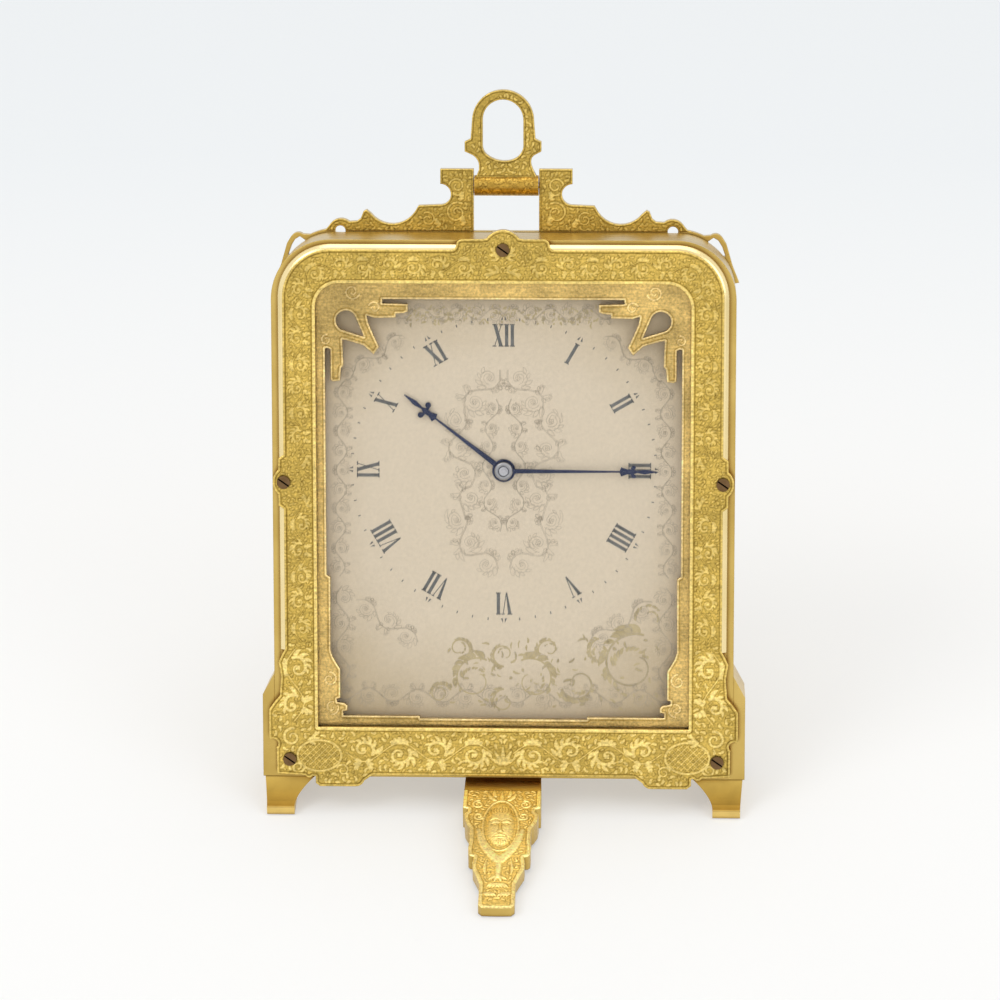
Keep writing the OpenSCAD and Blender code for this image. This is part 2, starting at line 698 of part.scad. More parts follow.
// Right half of the crest, from its flange up round the curl, the scroll, the scallop and the upright
function crest_half_outline() =
    let (
        foot = case_h - crest_flange,
        bed = case_h + 0.1,
        out = crest_w / 2,
        corner = [case_half - case_corner_r, case_h - case_corner_r],
        k = (corner[0] - out) / 21.8
    )
    concat(
        [[case_half - 6, foot], [case_half - 2, corner[1] + 1.4]],
        [for (q = [[13.1, 1.9], [12.7, 2.9], [11.7, 5.4], [10.9, 8.2], [10.4, 9.9], [9.6, 11.2]]) corner + q],
        arc([corner[0] + 8.1, corner[1] + 10.5], 1.6, 40, 130, 6),
        arc(corner, case_corner_r + 0.55, 64, 80, 5),
        [[out + 23.5 * k, case_h + 1]],
        arc([out + 20.9 * k, case_h - 0.1], 2.75, 35, 130, 6),
        [[out + 17.5 * k, case_h + 2.1], [out + 16.7 * k, case_h + 2.7], [out + 16.1 * k, case_h + 4.2]],
        [[out + 15.5 * k, case_h + 4.5]],
        arc([out + 10.1 * k, case_h + 7.2], 5.65 * k, 322, 214, arc_steps),
        [[out + 4.6 * k, case_h + 5.4]],
        arc([out, case_h + 7.8], 2.2, 270, 90, 2 * arc_steps),
        [[out, crest_top], [crest_gap / 2, crest_top], [crest_gap / 2, bed]]
    );

// Slot between the curl and the case's corner, measured from the corner's centre
CURL_SLOT = [[6.4, 10.4], [9.2, 7.2], [10.2, 7.4], [9.5, 9.4], [8.7, 10.7], [7.7, 11.3]];

module crest() {
    scroll_u = crest_w / 2 + 21 / 21.8 * (case_half - case_corner_r - crest_w / 2);
    color(GILT) in_case() difference() {
        slab(cover_w1, crest_w1) difference() {
            polygon(both_sides(crest_half_outline()));
            for (s = [-1, 1]) {
                translate([s * scroll_u, case_h + 0.1]) circle(r = 1.1, $fn = round_fn);
                translate([s * (case_half - case_corner_r), case_h - case_corner_r])
                    polygon([for (q = CURL_SLOT) [s * q[0], q[1]]]);
            }
        }
        for (p = crest_screw_places) rod(p, cover_w1 - 1, crest_w1 + 1, small_shank_r + screw_room);
        translate([0, handle_w, handle_v]) cross_rod(crest_gap / 2 + handle_pin_bite, handle_pin_r);
    }
}

module crest_screws() {
    color(BROWN_STEEL) in_case() for (p = crest_screw_places)
        screw(p, crest_w1, -1, small_head_r, small_head_t, small_shank_r, crest_t + cover_t);
}

module handle_pin() {
    color(STEEL) in_case() translate([0, handle_w, handle_v])
        cross_rod(crest_gap / 2 + handle_pin_bite, handle_pin_r);
}

// Outline above the hinge barrel, moved sideways above the neck by the loop's offset
function shifted(p) = [for (q = p) [q[0] + ring_shift * max(0, min(1, (q[1] - 3) / 4)), q[1]]];

// Right half of the ring's outline, in heights above the hinge axis
function ring_half_outline() =
    let (top_c = ring_reach - ring_w / 2)
    concat(
        [[barrel_half - 0.2, 0], [barrel_half - 0.4, barrel_r], [barrel_half - 1, 3.4]],
        arc([barrel_half + 1, 4.6], 2.2, 190, 110, 5),
        [[8, 7.2], [8, 9.2], [ring_w / 2 + 0.3, 9.8], [ring_w / 2, top_c]],
        arc([0, top_c], ring_w / 2, 0, 90, 2 * arc_steps)
    );

module ring_handle() {
    hole_r = ring_hole_w / 2;
    hole_top = ring_reach - 2;
    hole_foot = 5.2;
    color(GILT) in_case() translate([0, handle_w, handle_v]) difference() {
        union() {
            slab(-ring_t / 2, ring_t / 2) difference() {
                polygon(shifted(both_sides(ring_half_outline())));
                polygon(shifted(concat(arc([0, hole_top - hole_r], hole_r, 0, 180, 2 * arc_steps),
                    [for (p = arc([0, 0], hole_r, 180, 360, 2 * arc_steps))
                        [p[0], hole_foot + 0.75 * (hole_r + p[1])]])));
            }
            cross_rod(barrel_half, barrel_r);
        }
        cross_rod(crest_w, handle_pin_r + fit_gap);
    }
}

module strut_bracket() {
    color(GILT) in_case() difference() {
        union() {
            slab(cover_w1, cover_w1 + bracket_t) translate([-bracket_half_w, strut_v - bracket_half_h])
                square([2 * bracket_half_w, 2 * bracket_half_h]);
            for (s = [-1, 1]) translate([s * (ear_u + ear_t / 2), strut_axis_w, strut_v]) {
                cross_rod(ear_t / 2, knuckle_r + 0.3);
                translate([-ear_t / 2, cover_w1 + bracket_t / 2 - strut_axis_w, -knuckle_r - 0.3])
                    cube([ear_t, strut_axis_w - cover_w1 - bracket_t / 2, 2 * knuckle_r + 0.6]);
            }
        }
        translate([0, strut_axis_w, strut_v]) cross_rod(bracket_half_w, strut_pin_r);
        for (p = bracket_screw_places)
            rod(p, cover_w1 - 1, cover_w1 + bracket_t + 1, small_shank_r + screw_room);
    }
}

module bracket_screws() {
    color(BROWN_STEEL) in_case() for (p = bracket_screw_places)
        screw(p, cover_w1 + bracket_t, -1, small_head_r, small_head_t, small_shank_r, bracket_t + cover_t);
}

module strut_pin() {
    color(STEEL) in_case() translate([0, strut_axis_w, strut_v]) cross_rod(ear_u + ear_t, strut_pin_r);
}

// Right half of the strut's outline, in distances down from its hinge axis
function strut_half_outline() =
    let (neck = knuckle_len / 2, wide = strut_w / 2, slim = strut_w * 0.27, toe = strut_w * 0.34)
    concat(
        [[0, heel_len], [neck, heel_len], [neck, -9]],
        arc([neck, -12], 3, 90, 0, 5),
        [[wide, -13], [wide, -19]],
        arc([wide, -21.4], 1.5, 90, 270, 6),
        [[wide - 0.6, -24], [slim + 1.6, -46], [slim + 1.6, -48], [slim, -50], [slim, -strut_reach + 12],
            [toe, -strut_reach + 7], [toe, -strut_reach], [0, -strut_reach]]
    );

module strut() {
    color(GILT) in_case() translate([0, strut_axis_w, strut_v]) rotate([strut_open, 0, 0]) difference() {
        union() {
            slab(-strut_t / 2, strut_t / 2) polygon(both_sides(strut_half_outline()));
            cross_rod(knuckle_len / 2, knuckle_r);
            translate([0, 0, -strut_reach]) cross_rod(strut_w * 0.34, strut_t / 2);
        }
        cross_rod(strut_w, strut_pin_r + fit_gap);
    }
}

// Right half of the front foot's plan, from the toe back to the heel, in distances from the pivot
function foot_half_outline() =
    let (
        k = foot_reach / 43.4,
        root = foot_w / 2,
        toe = foot_toe_w / 2,
        mid = foot_w * 0.392,
        waist = foot_w * 0.325
    )
    concat(
        [for (a = [270 : 2 : 270 + asin(toe / foot_reach)]) polar(foot_reach, a)],
        [[toe, -42.4 * k], [toe, -36 * k], [(toe + waist) / 2, -33.6 * k], [waist, -31.4 * k]],
        [[waist + 0.1, -29.8 * k], [waist - 0.1, -27.7 * k], [mid - 0.4, -27.5 * k], [mid, -26.9 * k]],
        [[mid + 0.1, -24.6 * k], [mid - 0.1, -22.8 * k], [mid, -18.8 * k], [root - 1.2, -17.8 * k]],
        [[root - 0.6, -16.2 * k], [root - 0.4, -14.2 * k], [root - 1.1, -13.4 * k], [root - 1.1, -12.7 * k]],
        [[root, -12.2 * k], [root, -9 * k], [root - 0.2, -1]],
        arc([0, 0], foot_heel_r, 0, 90, 2 * arc_steps)
    );

module front_foot() {
    toe_pad = 5;
    color(GILT) difference() {
        union() {
            translate([0, 0, foot_lift]) linear_extrude(foot_top - foot_lift)
                polygon(both_sides(foot_half_outline()));
            intersection() {
                linear_extrude(foot_top) polygon(both_sides(foot_half_outline()));
                translate([-foot_w, -foot_reach - 1, 0]) cube([2 * foot_w, toe_pad + 1, foot_top]);
            }
            cylinder(h = foot_top, r = foot_boss_r, $fn = round_fn);
        }
        translate([-foot_w, -foot_level, foot_top]) rotate([foot_slope, 0, 0])
            translate([0, -2 * foot_reach, 0]) cube([2 * foot_w, 2 * foot_reach, foot_w]);
        translate([0, 0, -1]) cylinder(h = plinth_clear + 2, r = foot_pin_r + fit_gap, $fn = round_fn);
        translate([0, 0, -1])
            cylinder(h = 1 + foot_head_t + foot_play, r = foot_head_r + fit_gap, $fn = round_fn);
    }
}

module foot_pivot_screw() {
    color(BROWN_STEEL) {
        cylinder(h = foot_head_t, r = foot_head_r, $fn = round_fn);
        cylinder(h = plinth_clear, r = foot_pin_r, $fn = round_fn);
        translate([0, 0, plinth_clear]) cylinder(h = foot_thread_len, r = foot_thread_r, $fn = round_fn);
    }
}

// Hands and motion work
// Half of a hand's outline: a tapered shaft, two barbs, a neck and a pointed blade
function hand_half_outline(len, cross, root) = [
    [root, 0], [0.17, cross - 2.6], [0.95, cross - 2.3], [0.5, cross - 1], [0.55, cross - 0.3],
    [0.5, cross + 0.3], [0.22, cross + 1], [0.5, (cross + len) / 2], [0.08, len]
];

// Flat of a hand with the two lobes of its cross, pointing up from the centre
module hand_flat(len, cross, root, hub_r, lobe_u, lobe_r) {
    circle(r = hub_r, $fn = round_fn);
    polygon(both_sides(hand_half_outline(len, cross, root)));
    for (s = [-1, 1]) {
        translate([s * lobe_u, cross + 0.35]) circle(r = lobe_r, $fn = 24);
        translate([s * lobe_u / 2, cross + 0.05]) square([lobe_u, 0.6], center = true);
    }
}

module minute_hand() {
    color(BLUED) in_case() difference() {
        slab(minute_hand_w0, minute_hand_w0 + hand_t) translate(centre_at) rotate(-minute_angle)
            hand_flat(minute_len, minute_len - minute_blade, 0.5, 2, 0.95, 0.4);
        rod(centre_at, 0, dial_w0, cannon_r);
    }
}

module hour_hand() {
    color(BLUED) in_case() difference() {
        slab(hour_hand_w0, hour_hand_w0 + hand_t) translate(centre_at) rotate(-hour_angle)
            hand_flat(hour_len, hour_len - hour_blade, 0.6, 2.4, 1.3, 0.6);
        rod(centre_at, 0, dial_w0, hour_pipe_r);
    }
}

module setting_arbor() {
    square_w = 1.2;
    color(STEEL) in_case() {
        rod(centre_at, minute_hand_w0 - 0.6, rear_w1 + end_play, setting_r);
        rod(centre_at, rear_w1 + end_play, rear_w1 + 1, centre_tube_r);
        slab(rear_w1 + 1, cover_w1 - 0.2) translate(centre_at) square(square_w, center = true);
    }
}

module cannon_pinion() {
    pinion_w0 = minute_wheel_w0 - 0.05;
    color(STEEL) in_case() difference() {
        union() {
            rod(centre_at, minute_hand_w0 - 0.3, front_w0 - end_play, cannon_r);
            slab(pinion_w0, pinion_w0 + motion_t + 0.1) translate(centre_at) rotate(270 + 180 / CANNON_N)
                polygon(tooth_points(CANNON_N, cannon_m, PINION_FORM));
        }
        rod(centre_at, 0, front_w1, setting_r + 0.02);
    }
}

module minute_wheel() {
    pinion_w0 = hour_wheel_w0 - 0.05;
    color(BRASS) in_case() difference() {
        union() {
            slab(minute_wheel_w0, minute_wheel_w0 + motion_t) translate(minute_at) rotate(90)
                polygon(tooth_points(MINUTE_N, cannon_m, WHEEL_FORM));
            slab(pinion_w0, minute_wheel_w0 + motion_t) translate(minute_at)
                rotate(minute_dir + 180 + 180 / MINUTE_PINION_N)
                polygon(tooth_points(MINUTE_PINION_N, hour_m, PINION_FORM));
        }
        rod(minute_at, dial_w0, front_w1, stud_r + fit_gap);
    }
}

module minute_wheel_stud() {
    color(STEEL) in_case() rod(minute_at, dial_w1 + 0.05, front_w1 - 0.2, stud_r);
}

module hour_wheel() {
    color(BRASS) in_case() difference() {
        union() {
            slab(hour_wheel_w0, hour_wheel_w0 + motion_t) translate(centre_at) rotate(minute_dir)
                polygon(tooth_points(HOUR_N, hour_m, WHEEL_FORM));
            rod(centre_at, hour_hand_w0, hour_wheel_w0 + motion_t, hour_pipe_r);
        }
        rod(centre_at, 0, front_w1, cannon_r + fit_gap);
    }
}

// Movement frame
module plate_outline() {
    r = 4;
    translate([0, dial_v]) polygon(concat(
        arc([plate_w / 2 - r, plate_h / 2 - r], r, 0, 90, 6),
        arc([r - plate_w / 2, plate_h / 2 - r], r, 90, 180, 6),
        arc([r - plate_w / 2, r - plate_h / 2], r, 180, 270, 6),
        arc([plate_w / 2 - r, r - plate_h / 2], r, 270, 360, 6)
    ));
}

module plate_holes(w0, w1) {
    rod(barrel_at, w0, w1, barrel_pivot_r + fit_gap);
    rod(centre_at, w0, w1, centre_tube_r + fit_gap);
    for (p = [third_at, fourth_at]) rod(p, w0, w1, pivot_r + fit_gap);
    rod(escape_at, w0, w1, fine_pivot_r + fit_gap);
    for (p = pillar_places) rod(p, w0, w1, pillar_screw_r + screw_room);
}

module front_plate() {
    color(BRASS) in_case() difference() {
        slab(front_w0, front_w1) plate_outline();
        plate_holes(front_w0 - 1, front_w1 + 1);
        for (p = [lever_at, balance_at]) rod(p, front_w0 - 1, front_w1 + 1, fine_pivot_r + fit_gap);
        for (p = dial_post_places) rod(p, front_w0 - 1, front_w1 + 1, dial_post_stud_r);
        rod(minute_at, front_w0 - 1, front_w1 - 0.2, stud_r);
    }
}

module rear_plate() {
    color(BRASS) in_case() difference() {
        slab(rear_w0, rear_w1) plate_outline();
        plate_holes(rear_w0 - 1, rear_w1 + 1);
        rod(balance_at, rear_w0 - 1, rear_w1 + 1, 1.5);
        for (p = [click_at, cock_foot_at]) rod(p, rear_w0 - 1, rear_w1 + 1, small_shank_r);
    }
}

module pillars() {
    color(BRASS) in_case() for (p = pillar_places) difference() {
        rod(p, front_w1, rear_w0, pillar_r);
        rod(p, front_w1 - 1, front_w1 + pillar_screw_bite, pillar_screw_r);
        rod(p, rear_w0 - pillar_screw_bite, rear_w0 + 1, pillar_screw_r);
    }
}

module pillar_screws() {
    color(STEEL) in_case() for (p = pillar_places) {
        screw(p, front_w0, 1, pillar_head_r, pillar_head_t, pillar_screw_r, plate_t + pillar_screw_bite);
        screw(p, rear_w1, -1, pillar_head_r, pillar_head_t, pillar_screw_r, plate_t + pillar_screw_bite);
    }
}

// Going barrel and winding work
module barrel() {
    color(BRASS) in_case() difference() {
        union() {
            slab(barrel_w0, barrel_w0 + barrel_rim_t) translate(barrel_at) rotate(third_dir)
                polygon(tooth_points(BARREL_N, barrel_m, WHEEL_FORM));
            rod(barrel_at, barrel_w0, barrel_w1 - barrel_skin, barrel_drum_r + barrel_wall);
        }
        rod(barrel_at, barrel_w0 + barrel_skin, barrel_w1, barrel_drum_r);
        rod(barrel_at, barrel_w0 - 1, barrel_w1, barrel_core_r + fit_gap);
    }
}

module barrel_cover() {
    color(BRASS) in_case() difference() {
        rod(barrel_at, barrel_w1 - barrel_skin, barrel_w1, barrel_drum_r + barrel_wall);
        rod(barrel_at, barrel_w0, barrel_w1 + 1, barrel_core_r + fit_gap);
    }
}

module mainspring() {
    turns = 6;
    inner_r = barrel_core_r + 0.5;
    thick = 0.3;
    pitch = (barrel_drum_r - thick - 0.1 - inner_r) / turns;
    color(STEEL) in_case() slab(barrel_w0 + barrel_skin + 0.1, barrel_w1 - barrel_skin - 0.1)
        translate(barrel_at) polygon(spiral(inner_r, pitch, turns, thick, 30));
}

module barrel_arbor() {
    square_w = 1.3;
    color(STEEL) in_case() {
        rod(barrel_at, front_w0 + 0.1, rear_w1 + 0.9, barrel_pivot_r);
        rod(barrel_at, front_w1 + end_play / 2, rear_w0 - end_play / 2, barrel_core_r);
        slab(rear_w1 + 0.9, cover_w1 - 0.2) translate(barrel_at) square(square_w, center = true);
    }
}

module ratchet_wheel() {
    tip_r = 4.4;
    root_r = 3.7;
    color(STEEL) in_case() difference() {
        slab(rear_w1 + 0.1, rear_w1 + 0.8) translate(barrel_at)
            polygon(saw_points(RATCHET_N, tip_r, root_r, 0.8));
        rod(barrel_at, rear_w0, cover_w0, barrel_pivot_r);
    }
}

// The click's nose stands just off the ratchet's tips
module click() {
    click_r = 1.3;
    nose_dir = -70;
    color(STEEL) in_case() difference() {
        slab(rear_w1 + 0.1, rear_w1 + 0.7) translate(click_at) {
            circle(r = click_r, $fn = round_fn);
            rotate(nose_dir) polygon([[0, -1.1], [5, -0.8], [5.36, -0.15], [0, 1.1]]);
        }
        rod(click_at, rear_w0, cover_w0, small_shank_r + fit_gap);
    }
}

module click_screw() {
    color(STEEL) in_case()
        screw(click_at, rear_w1 + 0.8, -1, small_head_r, small_head_t, small_shank_r, plate_t + 0.8);
}

// Going train
module centre_wheel() {
    pinion_w0 = front_w1 + end_play;
    color(BRASS) in_case() difference() {
        union() {
            rod(centre_at, front_w0 + 0.1, rear_w1, centre_tube_r);
            slab(pinion_w0, pinion_w0 + 1.4) translate(centre_at)
                rotate(third_dir + 180 + 180 / CENTRE_PINION_N)
                polygon(tooth_points(CENTRE_PINION_N, barrel_m, PINION_FORM));
            slab(centre_wheel_w0, centre_wheel_w0 + wheel_t)
                translate(centre_at) rotate(third_dir) difference() {
                polygon(tooth_points(CENTRE_N, centre_m, WHEEL_FORM));
                crossings(1.8, CENTRE_N * centre_m / 2 - 1);
            }
        }
        rod(centre_at, front_w0 - 1, rear_w1 + 1, setting_r + fit_gap);
    }
}

// Arbor with its two pivots, a pinion and a wheel
module train_arbor(at, body_r, tip_r, pinion_n, pinion_m, pinion_dir, pinion_w,
    wheel_n, wheel_m, wheel_dir, wheel_w) {
    rod(at, front_w0 + 0.1, rear_w1 - 0.1, tip_r);
    rod(at, front_w1 + end_play / 2, rear_w0 - end_play / 2, body_r);
    slab(pinion_w[0], pinion_w[1]) translate(at) rotate(pinion_dir + 180 + 180 / pinion_n)
        polygon(tooth_points(pinion_n, pinion_m, PINION_FORM));
    slab(wheel_w[0], wheel_w[1]) translate(at) rotate(wheel_dir) difference() {
        polygon(tooth_points(wheel_n, wheel_m, WHEEL_FORM));
        crossings(1.4, wheel_n * wheel_m / 2 - 1);
    }
}

module third_wheel() {
    color(BRASS) in_case() train_arbor(third_at, arbor_r, pivot_r,
        THIRD_PINION_N, centre_m, third_dir, [centre_wheel_w0 - 0.2, centre_wheel_w0 + wheel_t + 0.1],
        THIRD_N, third_m, fourth_dir, [third_wheel_w0, third_wheel_w0 + wheel_t]);
}

module fourth_wheel() {
    color(BRASS) in_case() train_arbor(fourth_at, pivot_r + 0.1, pivot_r,
        FOURTH_PINION_N, third_m, fourth_dir, [third_wheel_w0 - 0.1, third_wheel_w0 + wheel_t + 0.1],
        FOURTH_N, fourth_m, escape_dir, [fourth_wheel_w0, fourth_wheel_w0 + 0.3]);
}

module escape_wheel() {
    color(BRASS) in_case() {
        rod(escape_at, front_w0 + 0.1, rear_w1 - 0.1, fine_pivot_r);
        rod(escape_at, front_w1 + end_play / 2, rear_w0 - end_play / 2, fine_arbor_r);
        slab(fourth_wheel_w0 - 0.1, fourth_wheel_w0 + 0.4) translate(escape_at)
            rotate(escape_dir + 180 + 180 / ESCAPE_PINION_N)
            polygon(tooth_points(ESCAPE_PINION_N, fourth_m, PINION_FORM));
        slab(escape_wheel_w0, escape_wheel_w0 + wheel_t) translate(escape_at) difference() {
            polygon(saw_points(ESCAPE_N, escape_r, escape_r - 1, 0.5));
            crossings(0.8, escape_r - 1.2);
        }
    }
}

// Lever with its two pallets round the escape wheel and its fork towards the balance
module pallet_lever() {
    inner_r = escape_r + 0.35;
    outer_r = lever_dist + 0.7;
    fork_len = 3.4;
    color(STEEL) in_case() {
        rod(lever_at, front_w0 + 0.1, pallet_cock_w0 + 0.5, fine_pivot_r);
        rod(lever_at, front_w1 + end_play / 2, pallet_cock_w0 - 0.1, fine_arbor_r);
        slab(lever_w0, lever_w0 + 0.6) translate(escape_at) rotate(lever_dir) {
            polygon(concat(arc([0, 0], inner_r, -34, 34), arc([0, 0], outer_r, 34, -34)));
            translate([lever_dist, 0]) polygon([
                [0, -0.35], [fork_len, -0.6], [fork_len, -0.3], [fork_len - 0.7, -0.25],
                [fork_len - 0.7, 0.25], [fork_len, 0.3], [fork_len, 0.6], [0, 0.35]
            ]);
        }
    }
}

module pallet_cock() {
    post_r = 1.2;
    color(BRASS) in_case() difference() {
        union() {
            rod(pallet_foot_at, front_w1, pallet_cock_w0 + 0.6, post_r);
            rod(lever_at, pallet_cock_w0, pallet_cock_w0 + 0.6, post_r);
            slab(pallet_cock_w0, pallet_cock_w0 + 0.6) translate(lever_at) rotate(lever_dir + 90)
                translate([0, -0.8]) square([5, 1.6]);
        }
        rod(lever_at, front_w0, rear_w0, fine_pivot_r + fit_gap);
    }
}

module balance() {
    rim = 1.2;
    roller_r = 1.2;
    pin_r = 0.18;
    color(BRASS) in_case() {
        rod(balance_at, front_w0 + 0.1, rear_w1 + 0.7, fine_pivot_r);
        rod(balance_at, front_w1 + end_play / 2, rear_w1 - 0.1, arbor_r - 0.1);
        rod(balance_at, lever_w0, lever_w0 + 0.4, roller_r);
        rod(balance_at + polar(roller_r - 0.3, lever_dir + 180), lever_w0 + 0.4, lever_w0 + 0.9, pin_r);
        slab(balance_w0, balance_w0 + 0.6) translate(balance_at) {
            difference() {
                circle(r = balance_r, $fn = 2 * round_fn);
                circle(r = balance_r - rim, $fn = 2 * round_fn);
            }
            square([2 * balance_r - rim, 0.9], center = true);
        }
    }
}

module hairspring() {
    collet_r = 0.95;
    thick = 0.14;
    color(BLUED) in_case() {
        slab(hairspring_w0, hairspring_w0 + 0.5) translate(balance_at) difference() {
            circle(r = collet_r, $fn = round_fn);
            circle(r = arbor_r - 0.08, $fn = round_fn);
        }
        slab(hairspring_w0, hairspring_w0 + 0.5) translate(balance_at)
            polygon(spiral(collet_r - 0.08, 0.6, 5, thick, 24));
    }
}

module balance_cock() {
    table_r = 2.6;
    cock_t = 1;
    color(BRASS) in_case() difference() {
        union() {
            rod(balance_at, rear_w1, rear_w1 + cock_t, table_r);
            rod(cock_foot_at, rear_w1, rear_w1 + cock_t, table_r - 0.4);
            slab(rear_w1, rear_w1 + cock_t)
                translate(balance_at) rotate(-56) translate([0, -1.6]) square([12, 3.2]);
        }
        rod(balance_at, rear_w0, cover_w0, fine_pivot_r + fit_gap);
        rod(cock_foot_at, rear_w0, cover_w0, small_shank_r + screw_room);
    }
}

module cock_screw() {
    color(STEEL) in_case()
        screw(cock_foot_at, rear_w1 + 1, -1, small_head_r, small_head_t, small_shank_r, plate_t + 1);
}

case_band();
plinth();
corner_foot_left();
corner_foot_right();
bezel();
bezel_screws();
glass();
dial_mask();
dial();
dial_screws();
dial_posts();
back_cover();
back_cover_screws();
crest();
crest_screws();
handle_pin();
ring_handle();
strut_bracket();
bracket_screws();
strut_pin();
strut();
front_foot();
foot_pivot_screw();
minute_hand();
hour_hand();
setting_arbor();
cannon_pinion();
minute_wheel();
minute_wheel_stud();
hour_wheel();
front_plate();
rear_plate();
pillars();
pillar_screws();
barrel();
barrel_cover();
mainspring();
barrel_arbor();
ratchet_wheel();
click();
click_screw();
centre_wheel();
third_wheel();
fourth_wheel();
escape_wheel();
pallet_lever();
pallet_cock();
balance();
hairspring();
balance_cock();
cock_screw();
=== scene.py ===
"""Looks of the strut clock: engraved gilt case, silvered dial, blued hands and soft studio light."""

import json
import math

import bpy
import numpy as np
from mathutils import Matrix, Vector
from mathutils.geometry import delaunay_2d_cdt


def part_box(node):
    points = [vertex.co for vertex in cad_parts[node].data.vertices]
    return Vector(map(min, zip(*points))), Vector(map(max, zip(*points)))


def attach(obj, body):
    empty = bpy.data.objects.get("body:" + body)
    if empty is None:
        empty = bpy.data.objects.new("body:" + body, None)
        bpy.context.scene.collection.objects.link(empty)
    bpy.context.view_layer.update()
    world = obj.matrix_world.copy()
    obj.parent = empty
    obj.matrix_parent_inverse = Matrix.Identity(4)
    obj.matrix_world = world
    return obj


MM = 0.001
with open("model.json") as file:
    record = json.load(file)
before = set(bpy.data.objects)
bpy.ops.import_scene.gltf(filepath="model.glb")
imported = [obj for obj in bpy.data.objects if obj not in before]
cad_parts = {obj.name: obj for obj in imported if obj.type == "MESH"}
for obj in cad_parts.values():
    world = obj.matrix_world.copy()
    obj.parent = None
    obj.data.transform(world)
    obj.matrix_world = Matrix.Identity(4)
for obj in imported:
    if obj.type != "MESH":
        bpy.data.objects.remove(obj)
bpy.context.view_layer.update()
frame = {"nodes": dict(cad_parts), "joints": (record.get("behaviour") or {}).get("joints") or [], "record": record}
nodes = frame["nodes"]
joints = {j["name"]: j for j in frame["joints"]}
rng = np.random.default_rng(11)


# Frames of the flat faces

class Plane:
    """Millimetre frame of a flat face: a across it, b up it, and the third axis out of it."""

    def __init__(self, origin, a, b):
        self.origin = np.array(origin, float)
        self.axes = np.array([a, b, np.cross(a, b)], float)

    def local(self, points):
        return (np.asarray(points) - self.origin) @ self.axes.T / MM

    def world(self, points):
        return self.origin + np.asarray(points) @ self.axes * MM


def node_triangles(node, plane):
    """Triangles of a CAD node in a plane's frame."""
    mesh = nodes[node].data
    mesh.calc_loop_triangles()
    points = np.empty(len(mesh.vertices) * 3)
    mesh.vertices.foreach_get("co", points)
    corners = np.empty(len(mesh.loop_triangles) * 3, np.int32)
    mesh.loop_triangles.foreach_get("vertices", corners)
    return plane.local(points.reshape(-1, 3))[corners.reshape(-1, 3)]


def normals_of(triangles):
    return np.cross(triangles[:, 1] - triangles[:, 0], triangles[:, 2] - triangles[:, 0])


WORLD = Plane([0, 0, 0], [1, 0, 0], [0, 1, 0])
depth_axis = np.array(joints["hand_setting"]["axis"])
across = np.array([1.0, 0.0, 0.0])
rise_axis = np.cross(across, depth_axis)
case_origin = np.array([0.0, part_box("corner_foot_left")[0].y, 0.0])
FRONT = Plane(case_origin, across, rise_axis)
BACK = Plane(case_origin, -across, rise_axis)
dial_centre = FRONT.local(joints["hand_setting"]["pos_m"])[:2]


def face_plane(node, facing, up):
    """Frame of the largest flat face of a CAD node that looks about along a direction."""
    triangles = node_triangles(node, WORLD)
    normals = normals_of(triangles)
    areas = np.linalg.norm(normals, axis=1)
    seen = normals @ facing > 0.5 * areas
    groups = {}
    for triangle, normal, area in zip(triangles[seen], normals[seen], areas[seen]):
        key = tuple(np.round(normal / area, 2))
        total, sum_normal, corner = groups.get(key, (0, np.zeros(3), triangle[0]))
        groups[key] = (total + area, sum_normal + normal, corner)
    normal, corner = max(groups.values(), key=lambda group: group[0])[1:]
    normal = normal / np.linalg.norm(normal)
    b = np.array(up) - np.dot(up, normal) * normal
    b /= np.linalg.norm(b)
    return Plane(normal * np.dot(normal, corner) * MM, np.cross(b, normal), b)


def top_level(node, plane):
    return node_triangles(node, plane)[:, :, 2].max()


def flat_level(node, plane):
    """Level of the largest flat face of a CAD node that looks along the plane's third axis."""
    triangles = node_triangles(node, plane)
    normals = normals_of(triangles)
    flat = (np.ptp(triangles[:, :, 2], axis=1) < 0.01) & (normals[:, 2] > 0)
    areas = {}
    for level, area in zip(np.round(triangles[flat][:, 0, 2], 2), normals[flat][:, 2]):
        areas[level] = areas.get(level, 0) + area
    return max(areas, key=areas.get)


def face_loops(node, plane, level):
    """Outlines of the flat face that a CAD node has at a level of the plane's third axis."""
    triangles = node_triangles(node, plane)
    flat = np.all(np.abs(triangles[:, :, 2] - level) < 0.02, axis=1)
    edges = set()
    for corners in np.round(triangles[flat][:, :, :2], 3):
        for i in range(3):
            p, q = tuple(corners[i]), tuple(corners[(i + 1) % 3])
            if (q, p) in edges:
                edges.remove((q, p))
            elif p != q:
                edges.add((p, q))
    following = dict(sorted(edges))
    loops = []
    while following:
        start, point = following.popitem()
        loop = [start]
        while point != start:
            loop.append(point)
            point = following.pop(point)
        loops.append(np.array(loop))
    return sorted(loops, key=lambda loop: -np.ptp(loop[:, 0]) * np.ptp(loop[:, 1]))


def resampled(loop, step):
    """Loop with its long edges divided."""
    points = []
    for p, q in zip(loop, np.roll(loop, -1, 0)):
        count = max(1, math.ceil(np.hypot(*(q - p)) / step))
        points += [p + (q - p) * i / count for i in range(count)]
    return np.array(points)


